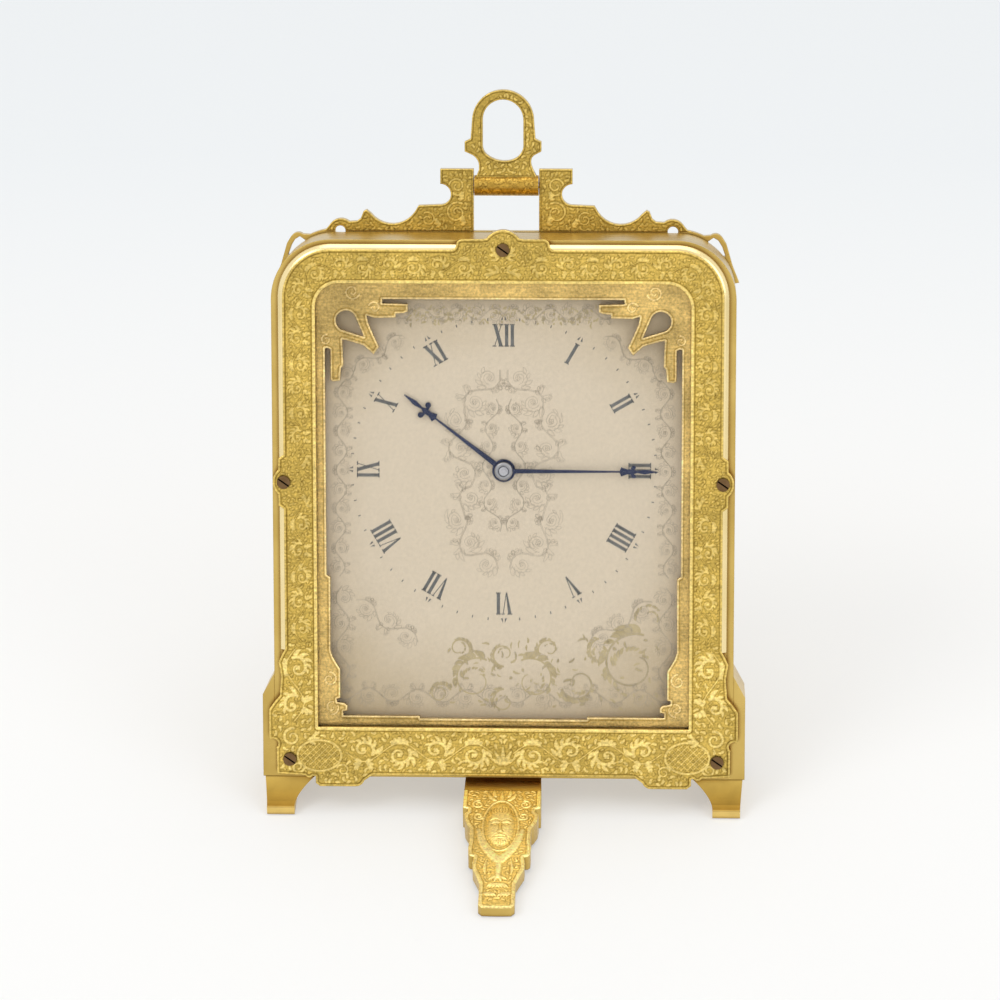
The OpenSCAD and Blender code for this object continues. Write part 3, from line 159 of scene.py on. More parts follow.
def edge_distance(points, loops):
    """Distance from each point to the nearest outline, and whether the point lies inside the face."""
    nearest = np.full(len(points), 1e9)
    inside = np.zeros(len(points), bool)
    x, y = points[:, 0], points[:, 1]
    for loop in loops:
        for p, q in zip(loop, np.roll(loop, -1, 0)):
            run = q - p
            share = np.clip(((x - p[0]) * run[0] + (y - p[1]) * run[1]) / (run @ run), 0, 1)
            gap = (x - p[0] - share * run[0]) ** 2 + (y - p[1] - share * run[1]) ** 2
            nearest = np.minimum(nearest, gap)
            if p[1] != q[1]:
                crosses = (p[1] > y) != (q[1] > y)
                inside ^= crosses & (x < p[0] + run[0] * (y - p[1]) / run[1])
    return np.sqrt(nearest), inside


# Ornament, drawn as strokes of points with a radius each

def even(points, half):
    """Stroke of one width."""
    return points, np.full(len(points), half)


def spiral(centre, start_r, end_r, start, turn, width, end_width):
    """Volute that winds in from start_r to end_r."""
    share = np.linspace(0, 1, max(16, int(abs(turn) / 7)))
    angle = np.radians(start + turn * share)
    r = end_r + (start_r - end_r) * (1 - share) ** 0.8
    points = np.array(centre) + np.stack([r * np.cos(angle), r * np.sin(angle)], 1)
    return points, width + (end_width - width) * share


def leaf(base, heading, length, width, bend, lobes=3):
    """Leaf with scalloped sides that bends away from its heading."""
    share = np.linspace(0, 1, max(8, int(length / 0.12)))
    angle = np.radians(heading + bend * share)
    way = np.stack([np.cos(angle), np.sin(angle)], 1) * length / len(share)
    points = np.array(base) + np.cumsum(way, 0)
    body = np.sin(np.pi * share ** 0.7) ** 0.8
    return points, width * body * (0.7 + 0.3 * np.abs(np.sin(lobes * np.pi * share))) + 0.04


def spray(base, heading, length, width, side):
    """Curling leaf with shorter ones along its outer edge."""
    main = leaf(base, heading, length, width, 75 * side)
    strokes = [main]
    for share, turn, size in ((0.05, -70, 0.6), (0.3, -58, 0.52), (0.55, -40, 0.42)):
        root = main[0][int(share * len(main[0]))]
        turned_by = (75 * share + turn) * side
        strokes.append(leaf(root, heading + turned_by, size * length, 0.8 * width, 50 * side, 1))
    return strokes


def lobed(stem, side, size, every):
    """Leaves along the outer side of a curling stem, smaller towards its end."""
    points = stem[0]
    way = np.gradient(points, axis=0)
    heading = np.degrees(np.arctan2(way[:, 1], way[:, 0]))
    length = np.concatenate([[0], np.cumsum(np.hypot(*np.diff(points, axis=0).T))])
    leaves = []
    for s in np.arange(0.1 * size, 0.55 * length[-1], every):
        i = np.searchsorted(length, s)
        grown = size * (1.1 - 0.9 * s / length[-1]) * rng.uniform(0.75, 1.15)
        leaves.append(leaf(points[i], heading[i] - 62 * side, grown, 0.19 * grown, 60 * side, 1))
    return leaves


def rinceau(length, half, pitch):
    """Running leafy scroll along a strip: a waving stem with an acanthus volute in each bend."""
    count = max(1, round(length / pitch))
    pitch = length / count
    s = np.linspace(0, length, int(length / 0.1))
    strokes = [even(np.stack([s, 0.5 * half * np.sin(np.pi * s / pitch)], 1), 0.03 * half)]
    for i in range(count):
        side = 1 if i % 2 == 0 else -1
        middle = (i + 0.5 + rng.uniform(-0.05, 0.05)) * pitch
        centre = np.array([middle, -0.14 * half * side])
        points, radii = spiral((0, 0), 1, 0.2, 150, 350 + rng.uniform(-30, 60), 0.11 * half, 0.05 * half)
        size = np.array([0.3 * pitch, 0.52 * half * side]) * rng.uniform(0.9, 1.05)
        volute = (centre + points * size, radii)
        strokes.append(volute)
        strokes += lobed(volute, side, 0.62 * half, 0.25 * half)
        for heading in range(0, 360, 90):
            strokes.append(leaf(centre, heading + 45, 0.16 * half, 0.06 * half, 0, 1))
        for lean in (-1, 1):
            root = [middle + 0.05 * pitch * lean, 0.48 * half * side]
            strokes += spray(root, 90 * side + 60 * lean, 0.62 * half, 0.12 * half, lean * side)
    return strokes


def on_path(path, s):
    """Points at lengths along a path."""
    length = np.concatenate([[0], np.cumsum(np.hypot(*np.diff(path, axis=0).T))])
    return np.stack([np.interp(s, length, path[:, k]) for k in (0, 1)], 1)


def along(path, strokes):
    """Strokes of a strip laid along a path."""
    path = np.asarray(path, float)
    laid = []
    for points, radii in strokes:
        s, t = points[:, 0], points[:, 1]
        way = on_path(path, s + 0.3) - on_path(path, s - 0.3)
        way /= np.maximum(np.hypot(*way.T)[:, None], 1e-6)
        laid.append((on_path(path, s) + np.stack([-way[:, 1], way[:, 0]], 1) * t[:, None], radii))
    return laid


def vine(path, half, pitch):
    """Running scroll along a path."""
    return along(path, rinceau(np.hypot(*np.diff(np.asarray(path, float), axis=0).T).sum(), half, pitch))


def mirrored(strokes):
    return strokes + [(points * [-1, 1], radii) for points, radii in strokes]


def moved(strokes, offset):
    return [(points + np.array(offset), radii) for points, radii in strokes]


def sides_of(middle, radii):
    """Left and right edges of a stroke."""
    way = np.gradient(middle, axis=0)
    way /= np.maximum(np.hypot(*way.T)[:, None], 1e-9)
    side = np.stack([-way[:, 1], way[:, 0]], 1) * np.asarray(radii)[:, None]
    return middle + side, middle - side


def outlined(strokes, half):
    """Fine lines along both edges of every stroke."""
    lines = []
    for middle, radii in strokes:
        left, right = sides_of(middle, radii)
        lines.append(even(np.concatenate([left[::2], right[::-2]]), half))
    return lines


def arc(centre, r, start, end, count=16):
    """Points of a circle's or an ellipse's arc."""
    a = np.radians(np.linspace(start, end, count))
    return np.array(centre) + np.asarray(r) * np.stack([np.cos(a), np.sin(a)], 1)


class Relief:
    """Height map of ornament: 0 in the cut outlines, GROUND on the ground, 1 on the highest leaves."""

    STEP = 0.1
    GROUND = 0.4
    MOAT = 0.18

    def __init__(self, loops):
        self.loops = loops
        points = np.concatenate(loops)
        self.low = points.min(0) - 2
        size = np.ceil((points.max(0) + 2 - self.low) / self.STEP).astype(int)
        self.top = np.zeros(size)
        self.moat = np.zeros(size)

    def near(self, strokes, margin):
        """Radius of each point of strokes, and the distance, top and moat of the cells round it."""
        for points, radii in strokes:
            for (x, y), r in zip((points - self.low) / self.STEP, radii / self.STEP):
                reach = r + margin
                x0, x1 = max(0, int(x - reach)), min(self.top.shape[0], int(x + reach) + 2)
                y0, y1 = max(0, int(y - reach)), min(self.top.shape[1], int(y + reach) + 2)
                if x0 < x1 and y0 < y1:
                    gap = np.hypot(np.arange(x0, x1)[:, None] - x, np.arange(y0, y1)[None] - y)
                    yield r, gap, self.top[x0:x1, y0:y1], self.moat[x0:x1, y0:y1]

    def stamp(self, strokes, height):
        """Raised strokes, each with a cut line round it."""
        moat = self.MOAT / self.STEP
        for r, gap, top, ring in self.near(strokes, moat):
            np.maximum(top, height * np.clip((1.1 - gap / max(r, 0.7)) / 0.5, 0, 1), out=top)
            np.maximum(ring, np.clip(r + moat - gap, 0, 1), out=ring)

    def cut(self, strokes):
        """Lines cut into the ornament."""
        for r, gap, top, ring in self.near(strokes, 1):
            depth = np.clip(r + 0.5 - gap, 0, 1)
            np.minimum(top, 1 - depth, out=top)
            np.maximum(ring, depth, out=ring)

    def fill(self, spacing, margin, keep, size, height):
        """Small curling leaves on the spots that are still bare, alike on both sides of the middle."""
        reach = int(0.34 * size / self.STEP)
        for spot in bare_spots(self.loops, spacing, margin, keep):
            i, j = ((spot - self.low) / self.STEP).astype(int)
            if not self.moat[i - reach:i + reach, j - reach:j + reach].any():
                heading = rng.uniform(0, 360)
                back = np.array([math.cos(math.radians(heading)), math.sin(math.radians(heading))]) * size / 2
                one = leaf(spot - back, heading, size, 0.2 * size, rng.choice([-110, 110]), 2)
                self.stamp(mirrored([one]), height)

    def at(self, points):
        """Relief at points of the face."""
        cut = self.moat * np.clip(1 - 6 * self.top, 0, 1)
        whole = self.GROUND * (1 - cut) + (1 - self.GROUND) * self.top
        place = (points - self.low) / self.STEP
        cell = np.clip(place.astype(int), 0, np.array(whole.shape) - 2)
        fx, fy = (place - cell).T
        i, j = cell.T
        lower = whole[i, j] * (1 - fx) + whole[i + 1, j] * fx
        upper = whole[i, j + 1] * (1 - fx) + whole[i + 1, j + 1] * fx
        return lower * (1 - fy) + upper * fy


class Face(Relief):
    """Flat face of a CAD node with the relief of its ornament."""

    def __init__(self, node, plane):
        self.plane = plane
        self.level = flat_level(node, plane)
        super().__init__(face_loops(node, plane, self.level))
        self.half = self.loops[0][:, 0].max()
        self.foot, self.head = self.loops[0][:, 1].min(), self.loops[0][:, 1].max()


def bare_spots(loops, spacing, margin, keep):
    """Jittered points on the right half of a face, clear of its edges."""
    points = np.concatenate(loops)
    low, high = points.min(0), points.max(0)
    grid = np.stack(np.meshgrid(np.arange(0.3, high[0], spacing), np.arange(low[1], high[1], spacing)), -1)
    grid = grid.reshape(-1, 2) + rng.uniform(-0.3, 0.3, (grid.size // 2, 2)) * spacing
    grid = grid[keep(grid)]
    gap, inside = edge_distance(grid, loops)
    return grid[inside & (gap > margin)]


# Meshes

def new_object(name, points, faces, material, body, smooth=False):
    """Mesh object from points in the row frame, riding on a CAD body."""
    mesh = bpy.data.meshes.new(name)
    mesh.from_pydata(np.asarray(points).tolist(), [], [list(map(int, f)) for f in faces])
    mesh.validate()
    mesh.update()
    if smooth:
        mesh.shade_smooth()
    mesh.materials.append(material)
    obj = bpy.data.objects.new(name, mesh)
    bpy.context.scene.collection.objects.link(obj)
    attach(obj, body)
    return obj


def set_relief(obj, values):
    """Relief of a mesh's points, for its material."""
    layer = obj.data.attributes.new("relief", "FLOAT", "POINT")
    layer.data.foreach_set("value", values.astype(np.float32))


def edge_strip(rim, loops, outlines, cells, low, step):
    """Triangles between the outlines and the stepped edge of the kept grid cells."""
    padded = np.pad(cells, 1)
    across_edges = np.argwhere(padded[1:-1, 1:] != padded[1:-1, :-1])
    along_edges = np.argwhere(padded[1:, 1:-1] != padded[:-1, 1:-1])
    spans = [((i, j), (i + 1, j)) for i, j in across_edges] + [((i, j), (i, j + 1)) for i, j in along_edges]
    number = {}
    for span in spans:
        for corner in span:
            number.setdefault(tuple(corner), len(rim) + len(number))
    points = np.concatenate([rim, low + step * np.array(list(number), float).reshape(-1, 2)])
    edges = [(number[tuple(p)], number[tuple(q)]) for p, q in spans]
    first = 0
    for outline in outlines:
        edges += [(first + i, first + (i + 1) % len(outline)) for i in range(len(outline))]
        first += len(outline)
    found = delaunay_2d_cdt([Vector(p) for p in points], edges, [], 0, 1e-5)
    corners = np.array([tuple(v) for v in found[0]])
    faces = np.array([f for f in found[2] if len(f) == 3])
    middle = corners[faces].mean(1)
    cell = np.floor((middle - low) / step).astype(int)
    within = np.all((cell >= 0) & (cell < cells.shape), axis=1)
    cell = np.clip(cell, 0, np.array(cells.shape) - 1)
    covered = within & cells[cell[:, 0], cell[:, 1]]
    return corners, faces[edge_distance(middle, loops)[1] & ~covered]


SKIN_CLEAR = 0.01
SKIRT_DEPTH = 0.1
SKIRT_TONE = 0.6


def engraved_skin(name, face, body, step, profile, material, keep):
    """Thin engraved plate over a flat CAD face. profile gives the rise and relief of points."""
    loops = face.loops
    outlines = [resampled(loop, 1.5 * step) for loop in loops]
    rim = np.concatenate(outlines)
    low = rim.min(0)
    count = np.ceil((rim.max(0) - low) / step).astype(int) + 1
    grid = low + step * np.indices(count).reshape(2, -1).T
    wanted = keep(grid)
    gap, inside = edge_distance(grid[wanted], loops)
    good = np.zeros(len(grid), bool)
    good[wanted] = inside & (gap > 0.5 * step)
    good = good.reshape(count)
    cells = good[:-1, :-1] & good[1:, :-1] & good[:-1, 1:] & good[1:, 1:]
    i, j = np.nonzero(cells)
    corner = i * count[1] + j
    quads = np.stack([corner, corner + count[1], corner + count[1] + 1, corner + 1], 1)
    flat_faces = np.concatenate([quads[:, [0, 1, 2]], quads[:, [0, 2, 3]]])
    strip, strip_faces = edge_strip(rim, loops, outlines, cells, low, step)
    strip_faces = strip_faces[keep(strip[strip_faces].mean(1))]
    corners = np.concatenate([grid, strip])
    faces = np.concatenate([flat_faces, strip_faces + len(grid)])
    merged, place = np.unique(np.round(corners, 4), axis=0, return_inverse=True)
    faces = place.reshape(-1)[faces]
    used, faces = np.unique(faces, return_inverse=True)
    faces = faces.reshape(-1, 3)
    corners = merged[used]
    rise, relief = profile(corners, edge_distance(corners, loops)[0])
    directed = np.concatenate([faces[:, [0, 1]], faces[:, [1, 2]], faces[:, [2, 0]]])
    ordered = np.sort(directed, 1)
    first, times = np.unique(ordered, axis=0, return_index=True, return_counts=True)[1:]
    border_edges = directed[first[times == 1]]
    border, below = np.unique(border_edges, return_inverse=True)
    below = below.reshape(-1, 2) + len(corners)
    walls = np.column_stack([border_edges[:, 1], border_edges[:, 0], below])
    top = np.column_stack([corners, face.level + SKIN_CLEAR + rise])
    skirt = np.column_stack([corners[border], np.full(len(border), face.level - SKIRT_DEPTH)])
    points = face.plane.world(np.concatenate([top, skirt]))
    obj = new_object(name, points, faces.tolist() + walls.tolist(), material, body, smooth=True)
    set_relief(obj, np.concatenate([relief, np.full(len(border), SKIRT_TONE)]))


def plates(name, shapes, plane, base, height, material, body, slot):
    """One mesh of thin raised plates, each a convex outline in the plane's frame."""
    points, faces = [], []
    for shape in shapes:
        first = len(points)
        n = len(shape)
        points += [(x, y, base) for x, y in shape] + [(x, y, base + height) for x, y in shape]
        faces.append([first + i for i in range(n)][::-1])
        faces.append([first + n + i for i in range(n)])
        faces += [[first + i, first + (i + 1) % n, first + n + (i + 1) % n, first + n + i] for i in range(n)]
    new_object(name, plane.world(points), faces, material, body)


def joined(rows, n, spans):
    """Faces between rows of n points, where the last row is followed by the first."""
    faces = []
    for k in range(rows):
        a, b = k * n, (k + 1) % rows * n
        faces += [(a + i, a + (i + 1) % n, b + (i + 1) % n, b + i) for i in range(spans)]
    return faces


def tube(rows, n):
    """Faces of a strip of rows with n points each, closed at both ends."""
    ends = [[k * n for k in range(rows)], [k * n + n - 1 for k in range(rows)][::-1]]
    return joined(rows, n, n - 1) + ends


LAYERS = 12
LAYER = 0.003


def ribbons(name, strokes, plane, base, height, material, body, slot):
    """One mesh of flat ribbons that follow strokes, in layers so that no two tops are level."""
    points, faces = [], []
    for order, (middle, radii) in enumerate(strokes):
        first = len(points)
        left, right = sides_of(middle, radii)
        top = base + height + order % LAYERS * LAYER
        for edge, level in ((left, base), (right, base), (right, top), (left, top)):
            points += [(x, y, level) for x, y in edge]
        faces += [[first + i for i in face] for face in tube(4, len(middle))]
    new_object(name, plane.world(points), faces, material, body)


def swept(name, path, section, plane, material, body):
    """Strip along an open path, with a closed section of offsets to the path's left and levels."""
    path = np.asarray(path, float)
    n = len(path)
    points = []
    for offset, level in section:
        points.append(np.column_stack([sides_of(path, np.full(n, offset))[0], np.full(n, level)]))
    new_object(name, plane.world(np.concatenate(points)), tube(len(section), n), material, body)


def turned(name, plane, centre, profile, material, body, count=48):
    """Ring turned about the plane's third axis from a closed profile of radii and levels."""
    points = []
    for r, level in profile:
        ring = arc(centre, r, 0, 360, count + 1)[:-1]
        points.append(np.column_stack([ring, np.full(count, level)]))
    faces = joined(len(profile), count, count)
    new_object(name, plane.world(np.concatenate(points)), faces, material, body, smooth=True)


# Materials

class Shader:
    """Small helper over one material's node tree."""

    def __init__(self, name):
        self.material = bpy.data.materials.new(name)
        self.material.use_nodes = True
        self.tree = self.material.node_tree
        self.surface = self.tree.nodes["Principled BSDF"]
        self.output = self.tree.nodes["Material Output"]

    def put(self, socket, value):
        """Link or set an input. A colour is given without its alpha."""
        if isinstance(value, bpy.types.NodeSocket):
            self.tree.links.new(value, socket)
        else:
            socket.default_value = (*value, 1) if socket.type == "RGBA" else value

    def node(self, kind, inputs=(), **settings):
        made = self.tree.nodes.new(kind)
        for key, value in settings.items():
            setattr(made, key, value)
        for key, value in dict(inputs).items():
            self.put(made.inputs[key], value)
        return made

    def set(self, **values):
        for key, value in values.items():
            self.put(self.surface.inputs[key.replace("_", " ").title() if key != "IOR" else key], value)

    def place(self, scale=(1, 1, 1)):
        spot = self.node("ShaderNodeTexCoord").outputs["Object"]
        return self.node("ShaderNodeMapping", {"Vector": spot, "Scale": scale}).outputs["Vector"]

    def noise(self, scale, detail=2.0, rough=0.5, stretch=(1, 1, 1)):
        spot = self.place(stretch)
        inputs = {"Vector": spot, "Scale": scale, "Detail": detail, "Roughness": rough}
        return self.node("ShaderNodeTexNoise", inputs).outputs["Fac"]

    def span(self, value, low, high):
        """Value from 0 to 1 spread over low to high."""
        inputs = {"Value": value, "To Min": low, "To Max": high}
        return self.node("ShaderNodeMapRange", inputs).outputs["Result"]

    def share(self, value, low, high, **settings):
        """How far a value is from low to high, from 0 to 1."""
        inputs = {"Value": value, "From Min": low, "From Max": high}
        return self.node("ShaderNodeMapRange", inputs, **settings).outputs["Result"]

    def ramp(self, value, first, last, others):
        """Colours along a value, the others at their own places."""
        made = self.node("ShaderNodeValToRGB", {"Fac": value})
        steps = made.color_ramp.elements
        steps[0].color = (*first, 1)
        steps[1].color = (*last, 1)
        for spot, colour in others:
            steps.new(spot).color = (*colour, 1)
        return made.outputs["Color"]

    def mix(self, share, a, b, blend="MIX"):
        made = self.node("ShaderNodeMix", {0: share, 6: a, 7: b}, data_type="RGBA", blend_type=blend)
        return made.outputs[2]

    def toned(self, colour, value):
        """Colour multiplied by a grey value."""
        grey = self.node("ShaderNodeCombineColor", {"Red": value, "Green": value, "Blue": value})
        return self.mix(1.0, colour, grey.outputs["Color"], "MULTIPLY")

    def math(self, operation, a, b):
        return self.node("ShaderNodeMath", {0: a, 1: b}, operation=operation).outputs[0]

    def bump(self, height, strength, distance):
        made = self.node("ShaderNodeBump", {"Height": height, "Strength": strength, "Distance": distance})
        self.tree.links.new(made.outputs["Normal"], self.surface.inputs["Normal"])
        return made

    def brushed(self, low, high):
        """Roughness that is drawn out one way."""
        return self.span(self.noise(GRAIN, 3, stretch=BRUSHED), low, high)

    def shaded_in_corners(self, colour, shade_colour, reach, low, high):
        """Colour with painted shade in the corners, mixed in where ambient occlusion finds nearby surfaces."""
        corner = self.node("ShaderNodeAmbientOcclusion", {"Distance": reach}, samples=8).outputs["AO"]
        return self.mix(self.share(corner, low, high), shade_colour, colour)


BRUSHED = (0.12, 1, 1)
# Painted shade: dark brown mixed into corners and along contact lines.
CORNER_SHADE = ((0.22, 0.105, 0.02), 0.0012, 0.45, 0.85)
# Painted shade: near black down in the screw slots.
SLOT_SHADE = ((0.01, 0.006, 0.003), 0.0009, 0.55, 0.95)
RUBBED = 0.0003
GRAIN = 900.0
DENTS = 0.06


def metal(name, dark, light, rough, worn=False):
    """Plain metal of uneven tone and polish. With the corner flag set, it gets painted shade in its corners and
    edges rounded by the bevel normal.
    """
    shader = Shader(name)
    tone = shader.span(shader.noise(90, 4), -0.5, 1.5)
    colour = shader.mix(tone, dark, light)
    if worn:
        colour = shader.shaded_in_corners(colour, *CORNER_SHADE)
    shader.set(base_color=colour, metallic=1.0)
    shader.set(roughness=shader.brushed(rough - 0.08, rough + 0.1))
    dented = shader.bump(shader.noise(GRAIN, 4, stretch=BRUSHED), DENTS, 0.00005)
    if worn:
        rubbed = shader.node("ShaderNodeBevel", {"Radius": RUBBED}, samples=4)
        shader.tree.links.new(rubbed.outputs["Normal"], dented.inputs["Normal"])
    return shader.material


def engraved_metal(name, cut, ground, light, ground_rough, rough, cloudy=0.3):
    """Metal with burnished leaves over a matted ground and cut lines, coloured by their relief: painted shade in
    the cut lines and painted highlight on the raised leaves.
    """
    shader = Shader(name)
    relief = shader.node("ShaderNodeAttribute", attribute_name="relief").outputs["Fac"]
    # The ramp paints shade into the cut lines and highlight onto the raised leaves.
    leaves = shader.ramp(relief, cut, light, [(Relief.GROUND, ground)])
    cloud = shader.span(shader.noise(110, 4), 1 - cloudy, 1 + cloudy)
    fleck = shader.span(shader.noise(1900, 4, 0.6), 0.2, 1.8)
    streak = shader.noise(2400, 2, stretch=BRUSHED)
    tone = shader.math("MULTIPLY", fleck, shader.span(streak, 0.62, 1.38))
    shader.set(base_color=shader.toned(leaves, shader.math("MULTIPLY", cloud, tone)), metallic=1.0)
    shader.set(roughness=shader.span(relief, ground_rough, rough))
    dots = shader.node("ShaderNodeTexVoronoi", {"Vector": shader.place(), "Scale": 2600.0})
    matting = shader.math("ADD", dots.outputs["Distance"], streak)
    stipple = shader.math("MULTIPLY", matting, shader.span(relief, 1.0, 0.05))
    shader.bump(stipple, 0.4, 0.0001)
    return shader.material


gilt = metal("gilt_plain", (0.52, 0.35, 0.085), (0.70, 0.50, 0.15), 0.28, worn=True)
# Painted highlight: a paler, lighter copy of the gilt for the polished step strip.
gilt_painted_highlight = metal("gilt_polished_painted_highlight", (0.84, 0.67, 0.32), (0.95, 0.79, 0.44), 0.2)
brass = metal("movement_brass", (0.58, 0.40, 0.14), (0.70, 0.52, 0.22), 0.3)
steel = metal("polished_steel", (0.42, 0.42, 0.44), (0.60, 0.60, 0.62), 0.25)
bright_steel = metal("silvered_collet", (0.30, 0.30, 0.31), (0.42, 0.42, 0.43), 0.34)
blued = metal("blued_steel", (0.03, 0.037, 0.065), (0.065, 0.075, 0.13), 0.3)
gilt_engraved = engraved_metal(
    "gilt_engraved", (0.27, 0.17, 0.03), (0.63, 0.44, 0.10), (0.95, 0.72, 0.25), 0.46, 0.3)
pale_gilt = engraved_metal(
    "pale_gilt_engraved", (0.40, 0.25, 0.06), (0.66, 0.46, 0.155), (0.94, 0.72, 0.34), 0.4, 0.3, 0.7)
# Painted shade: a darker copy of the engraved gilt for the handle's barrel.
barrel_engraved_painted_shade = engraved_metal(
    "barrel_engraved_painted_shade", (0.2, 0.11, 0.02), (0.46, 0.28, 0.05), (0.74, 0.49, 0.11), 0.44, 0.3)
crest_engraved = engraved_metal(
    "crest_engraved", (0.20, 0.12, 0.02), (0.54, 0.37, 0.08), (0.88, 0.65, 0.2), 0.46, 0.3)
# Painted light: a lighter copy of the engraved gilt for the front foot, which faces up.
foot_engraved_painted_light = engraved_metal(
    "foot_engraved_painted_light", (0.36, 0.22, 0.04), (0.78, 0.55, 0.15), (1.0, 0.80, 0.33), 0.46, 0.34)


def foot_gilt():
    """Gilding of the corner feet, darker than the case's gilt, with a painted reflection that makes the pads
    bright and painted shade that makes the legs darkest just above them.
    """
    shader = Shader("gilt_painted_shade_and_reflection")
    foot_low, foot_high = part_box("corner_foot_left")
    height = shader.node("ShaderNodeSeparateXYZ", {"Vector": shader.place()}).outputs["Z"]
    # Painted reflection on the pads, painted shade just above them and on the legs.
    pad, leg_foot_shade = (0.80, 0.57, 0.18), (0.27, 0.15, 0.022)
    leg_shade, leg_top = (0.44, 0.27, 0.05), (0.62, 0.42, 0.10)
    colour = shader.ramp(shader.share(height, foot_low.z, foot_high.z), pad, leg_top,
                         [(0.24, pad), (0.3, leg_foot_shade), (0.56, leg_shade)])
    colour = shader.toned(colour, shader.span(shader.noise(300, 4), 0.8, 1.2))
    shader.set(base_color=shader.shaded_in_corners(colour, *CORNER_SHADE), metallic=1.0)
    shader.set(roughness=shader.brushed(0.26, 0.44))
    return shader.material


def browned_steel():
    """Browned steel with painted shade that turns it black down in the screw slots."""
    shader = Shader("browned_steel")
    warm = shader.mix(shader.noise(700, 4), (0.11, 0.058, 0.022), (0.27, 0.165, 0.08))
    shader.set(base_color=shader.shaded_in_corners(warm, *SLOT_SHADE), metallic=1.0)
    shader.set(roughness=shader.brushed(0.34, 0.5))
    return shader.material


def silvered_dial():
    """Silvering that darkens and yellows towards the dial's edges, most at the top: tarnish, with painted shade
    under the mask along the top.
    """
    shader = Shader("silvered_dial")
    centre = tuple(FRONT.world([dial_centre[0], dial_centre[1] - 7, top_level("dial", FRONT)]))
    offset = shader.node("ShaderNodeVectorMath", {0: shader.place(), 1: centre}, operation="SUBTRACT")
    reach = shader.node("ShaderNodeVectorMath", {0: offset.outputs[0]}, operation="LENGTH").outputs["Value"]
    cloud = shader.span(shader.noise(70, 5, 0.6), -0.007, 0.007)
    # Painted shade under the mask and tarnish, darker away from a centre set below the dial's middle.
    edge = shader.share(shader.math("ADD", reach, cloud), 0.026, 0.062, interpolation_type="SMOOTHSTEP")
    colour = shader.mix(edge, (0.71, 0.61, 0.465), (0.50, 0.395, 0.235))
    shader.set(base_color=shader.toned(colour, shader.span(shader.noise(1500, 3), 0.9, 1.08)))
    shader.set(metallic=0.25, roughness=shader.span(shader.noise(800, 3), 0.42, 0.58))
    shader.bump(shader.noise(2200, 3), 0.15, 0.00004)
    return shader.material


def ink(name, dark, light, rough=0.6):
    """Wax, engraving or worn gilding on the dial, uneven in places."""
    shader = Shader(name)
    shader.set(base_color=shader.mix(shader.span(shader.noise(500, 4), -0.4, 1.4), dark, light))
    shader.set(roughness=rough)
    return shader.material


def clear_glass():
    """Clear glass that lets light through to the dial."""
    shader = Shader("clear_glass")
    shader.set(base_color=shader.mix(shader.noise(60, 2), (0.97, 0.98, 0.98), (1, 1, 1)))
    shader.set(roughness=0.0, IOR=1.45, alpha=0.1, transmission_weight=1.0)
    return shader.material


gilt_shaded = foot_gilt()
dial_silver = silvered_dial()
brown = browned_steel()
slate = ink("slate_wax", (0.075, 0.076, 0.074), (0.2, 0.2, 0.19))
engraving = ink("grey_engraving", (0.29, 0.245, 0.18), (0.52, 0.44, 0.33))
worn_gold = ink("worn_gilding", (0.44, 0.35, 0.18), (0.58, 0.48, 0.28), 0.45)

slot_looks = {
    "gilt": gilt, "pale_gilt": gilt, "movement_brass": brass, "silvered": dial_silver, "steel": steel,
    "brown_steel": brown, "blued_steel": blued, "glass": clear_glass(),
}
for part in frame["record"]["subparts"]:
    look = nodes[part["node"]].data.materials
    look.clear()
    look.append(gilt_shaded if part["node"].startswith("corner_foot") else slot_looks[part["material_slot"]])


# Engraved gilt faces

EDGE_SOFT = 0.12
EDGE_FALL = 0.15


def framed(face, fillet, tall, groove=0.28, shine=0.88, inner=None):
    """Profile with a plain fillet along every edge, a cut line beside it and ornament between.

    inner is the fillet and shine along the second outline, where they differ.
    """
    def profile(points, gap):
        width, bright = fillet, shine
        if inner:
            beside = edge_distance(points, face.loops[1:2])[0] < gap + 0.001
            width, bright = np.where(beside, inner[0], fillet), np.where(beside, inner[1], shine)
        band = np.clip((width + EDGE_SOFT - gap) / EDGE_SOFT, 0, 1)
        field = np.clip((gap - width - groove) / EDGE_SOFT, 0, 1)
        relief = np.maximum(bright * band, face.at(points) * field)
        return tall * relief * np.clip(gap / EDGE_FALL, 0, 1), relief
    return profile


def everywhere(points):
    return np.ones(len(points), bool)


BEZEL_HALF = 45.5
RAIL_U = 42.2
RAIL_V = 115.8
RAIL_HALF = 2.5
RAIL_PITCH = 5.2
LOW_RAILS = 36.0
LOW_RAIL_HALF = 3.9
APRON_V = 13.5
TRELLIS = np.array([38.5, 12.7])
TRELLIS_HALF = np.array([4.6, 3.3])
TRELLIS_PITCH = 1.25
bezel = Face("bezel", FRONT)
window = bezel.loops[1]
window_half = window[:, 0].max()
window_foot, window_top = window[:, 1].min(), window[:, 1].max()


def off_window(points):
    x, y = np.abs(points[:, 0]), points[:, 1]
    return (x > window_half - 1) | (y < window_foot + 1) | (y > window_top - 5)


def on_low_rails(points):
    return points[:, 1] < LOW_RAILS


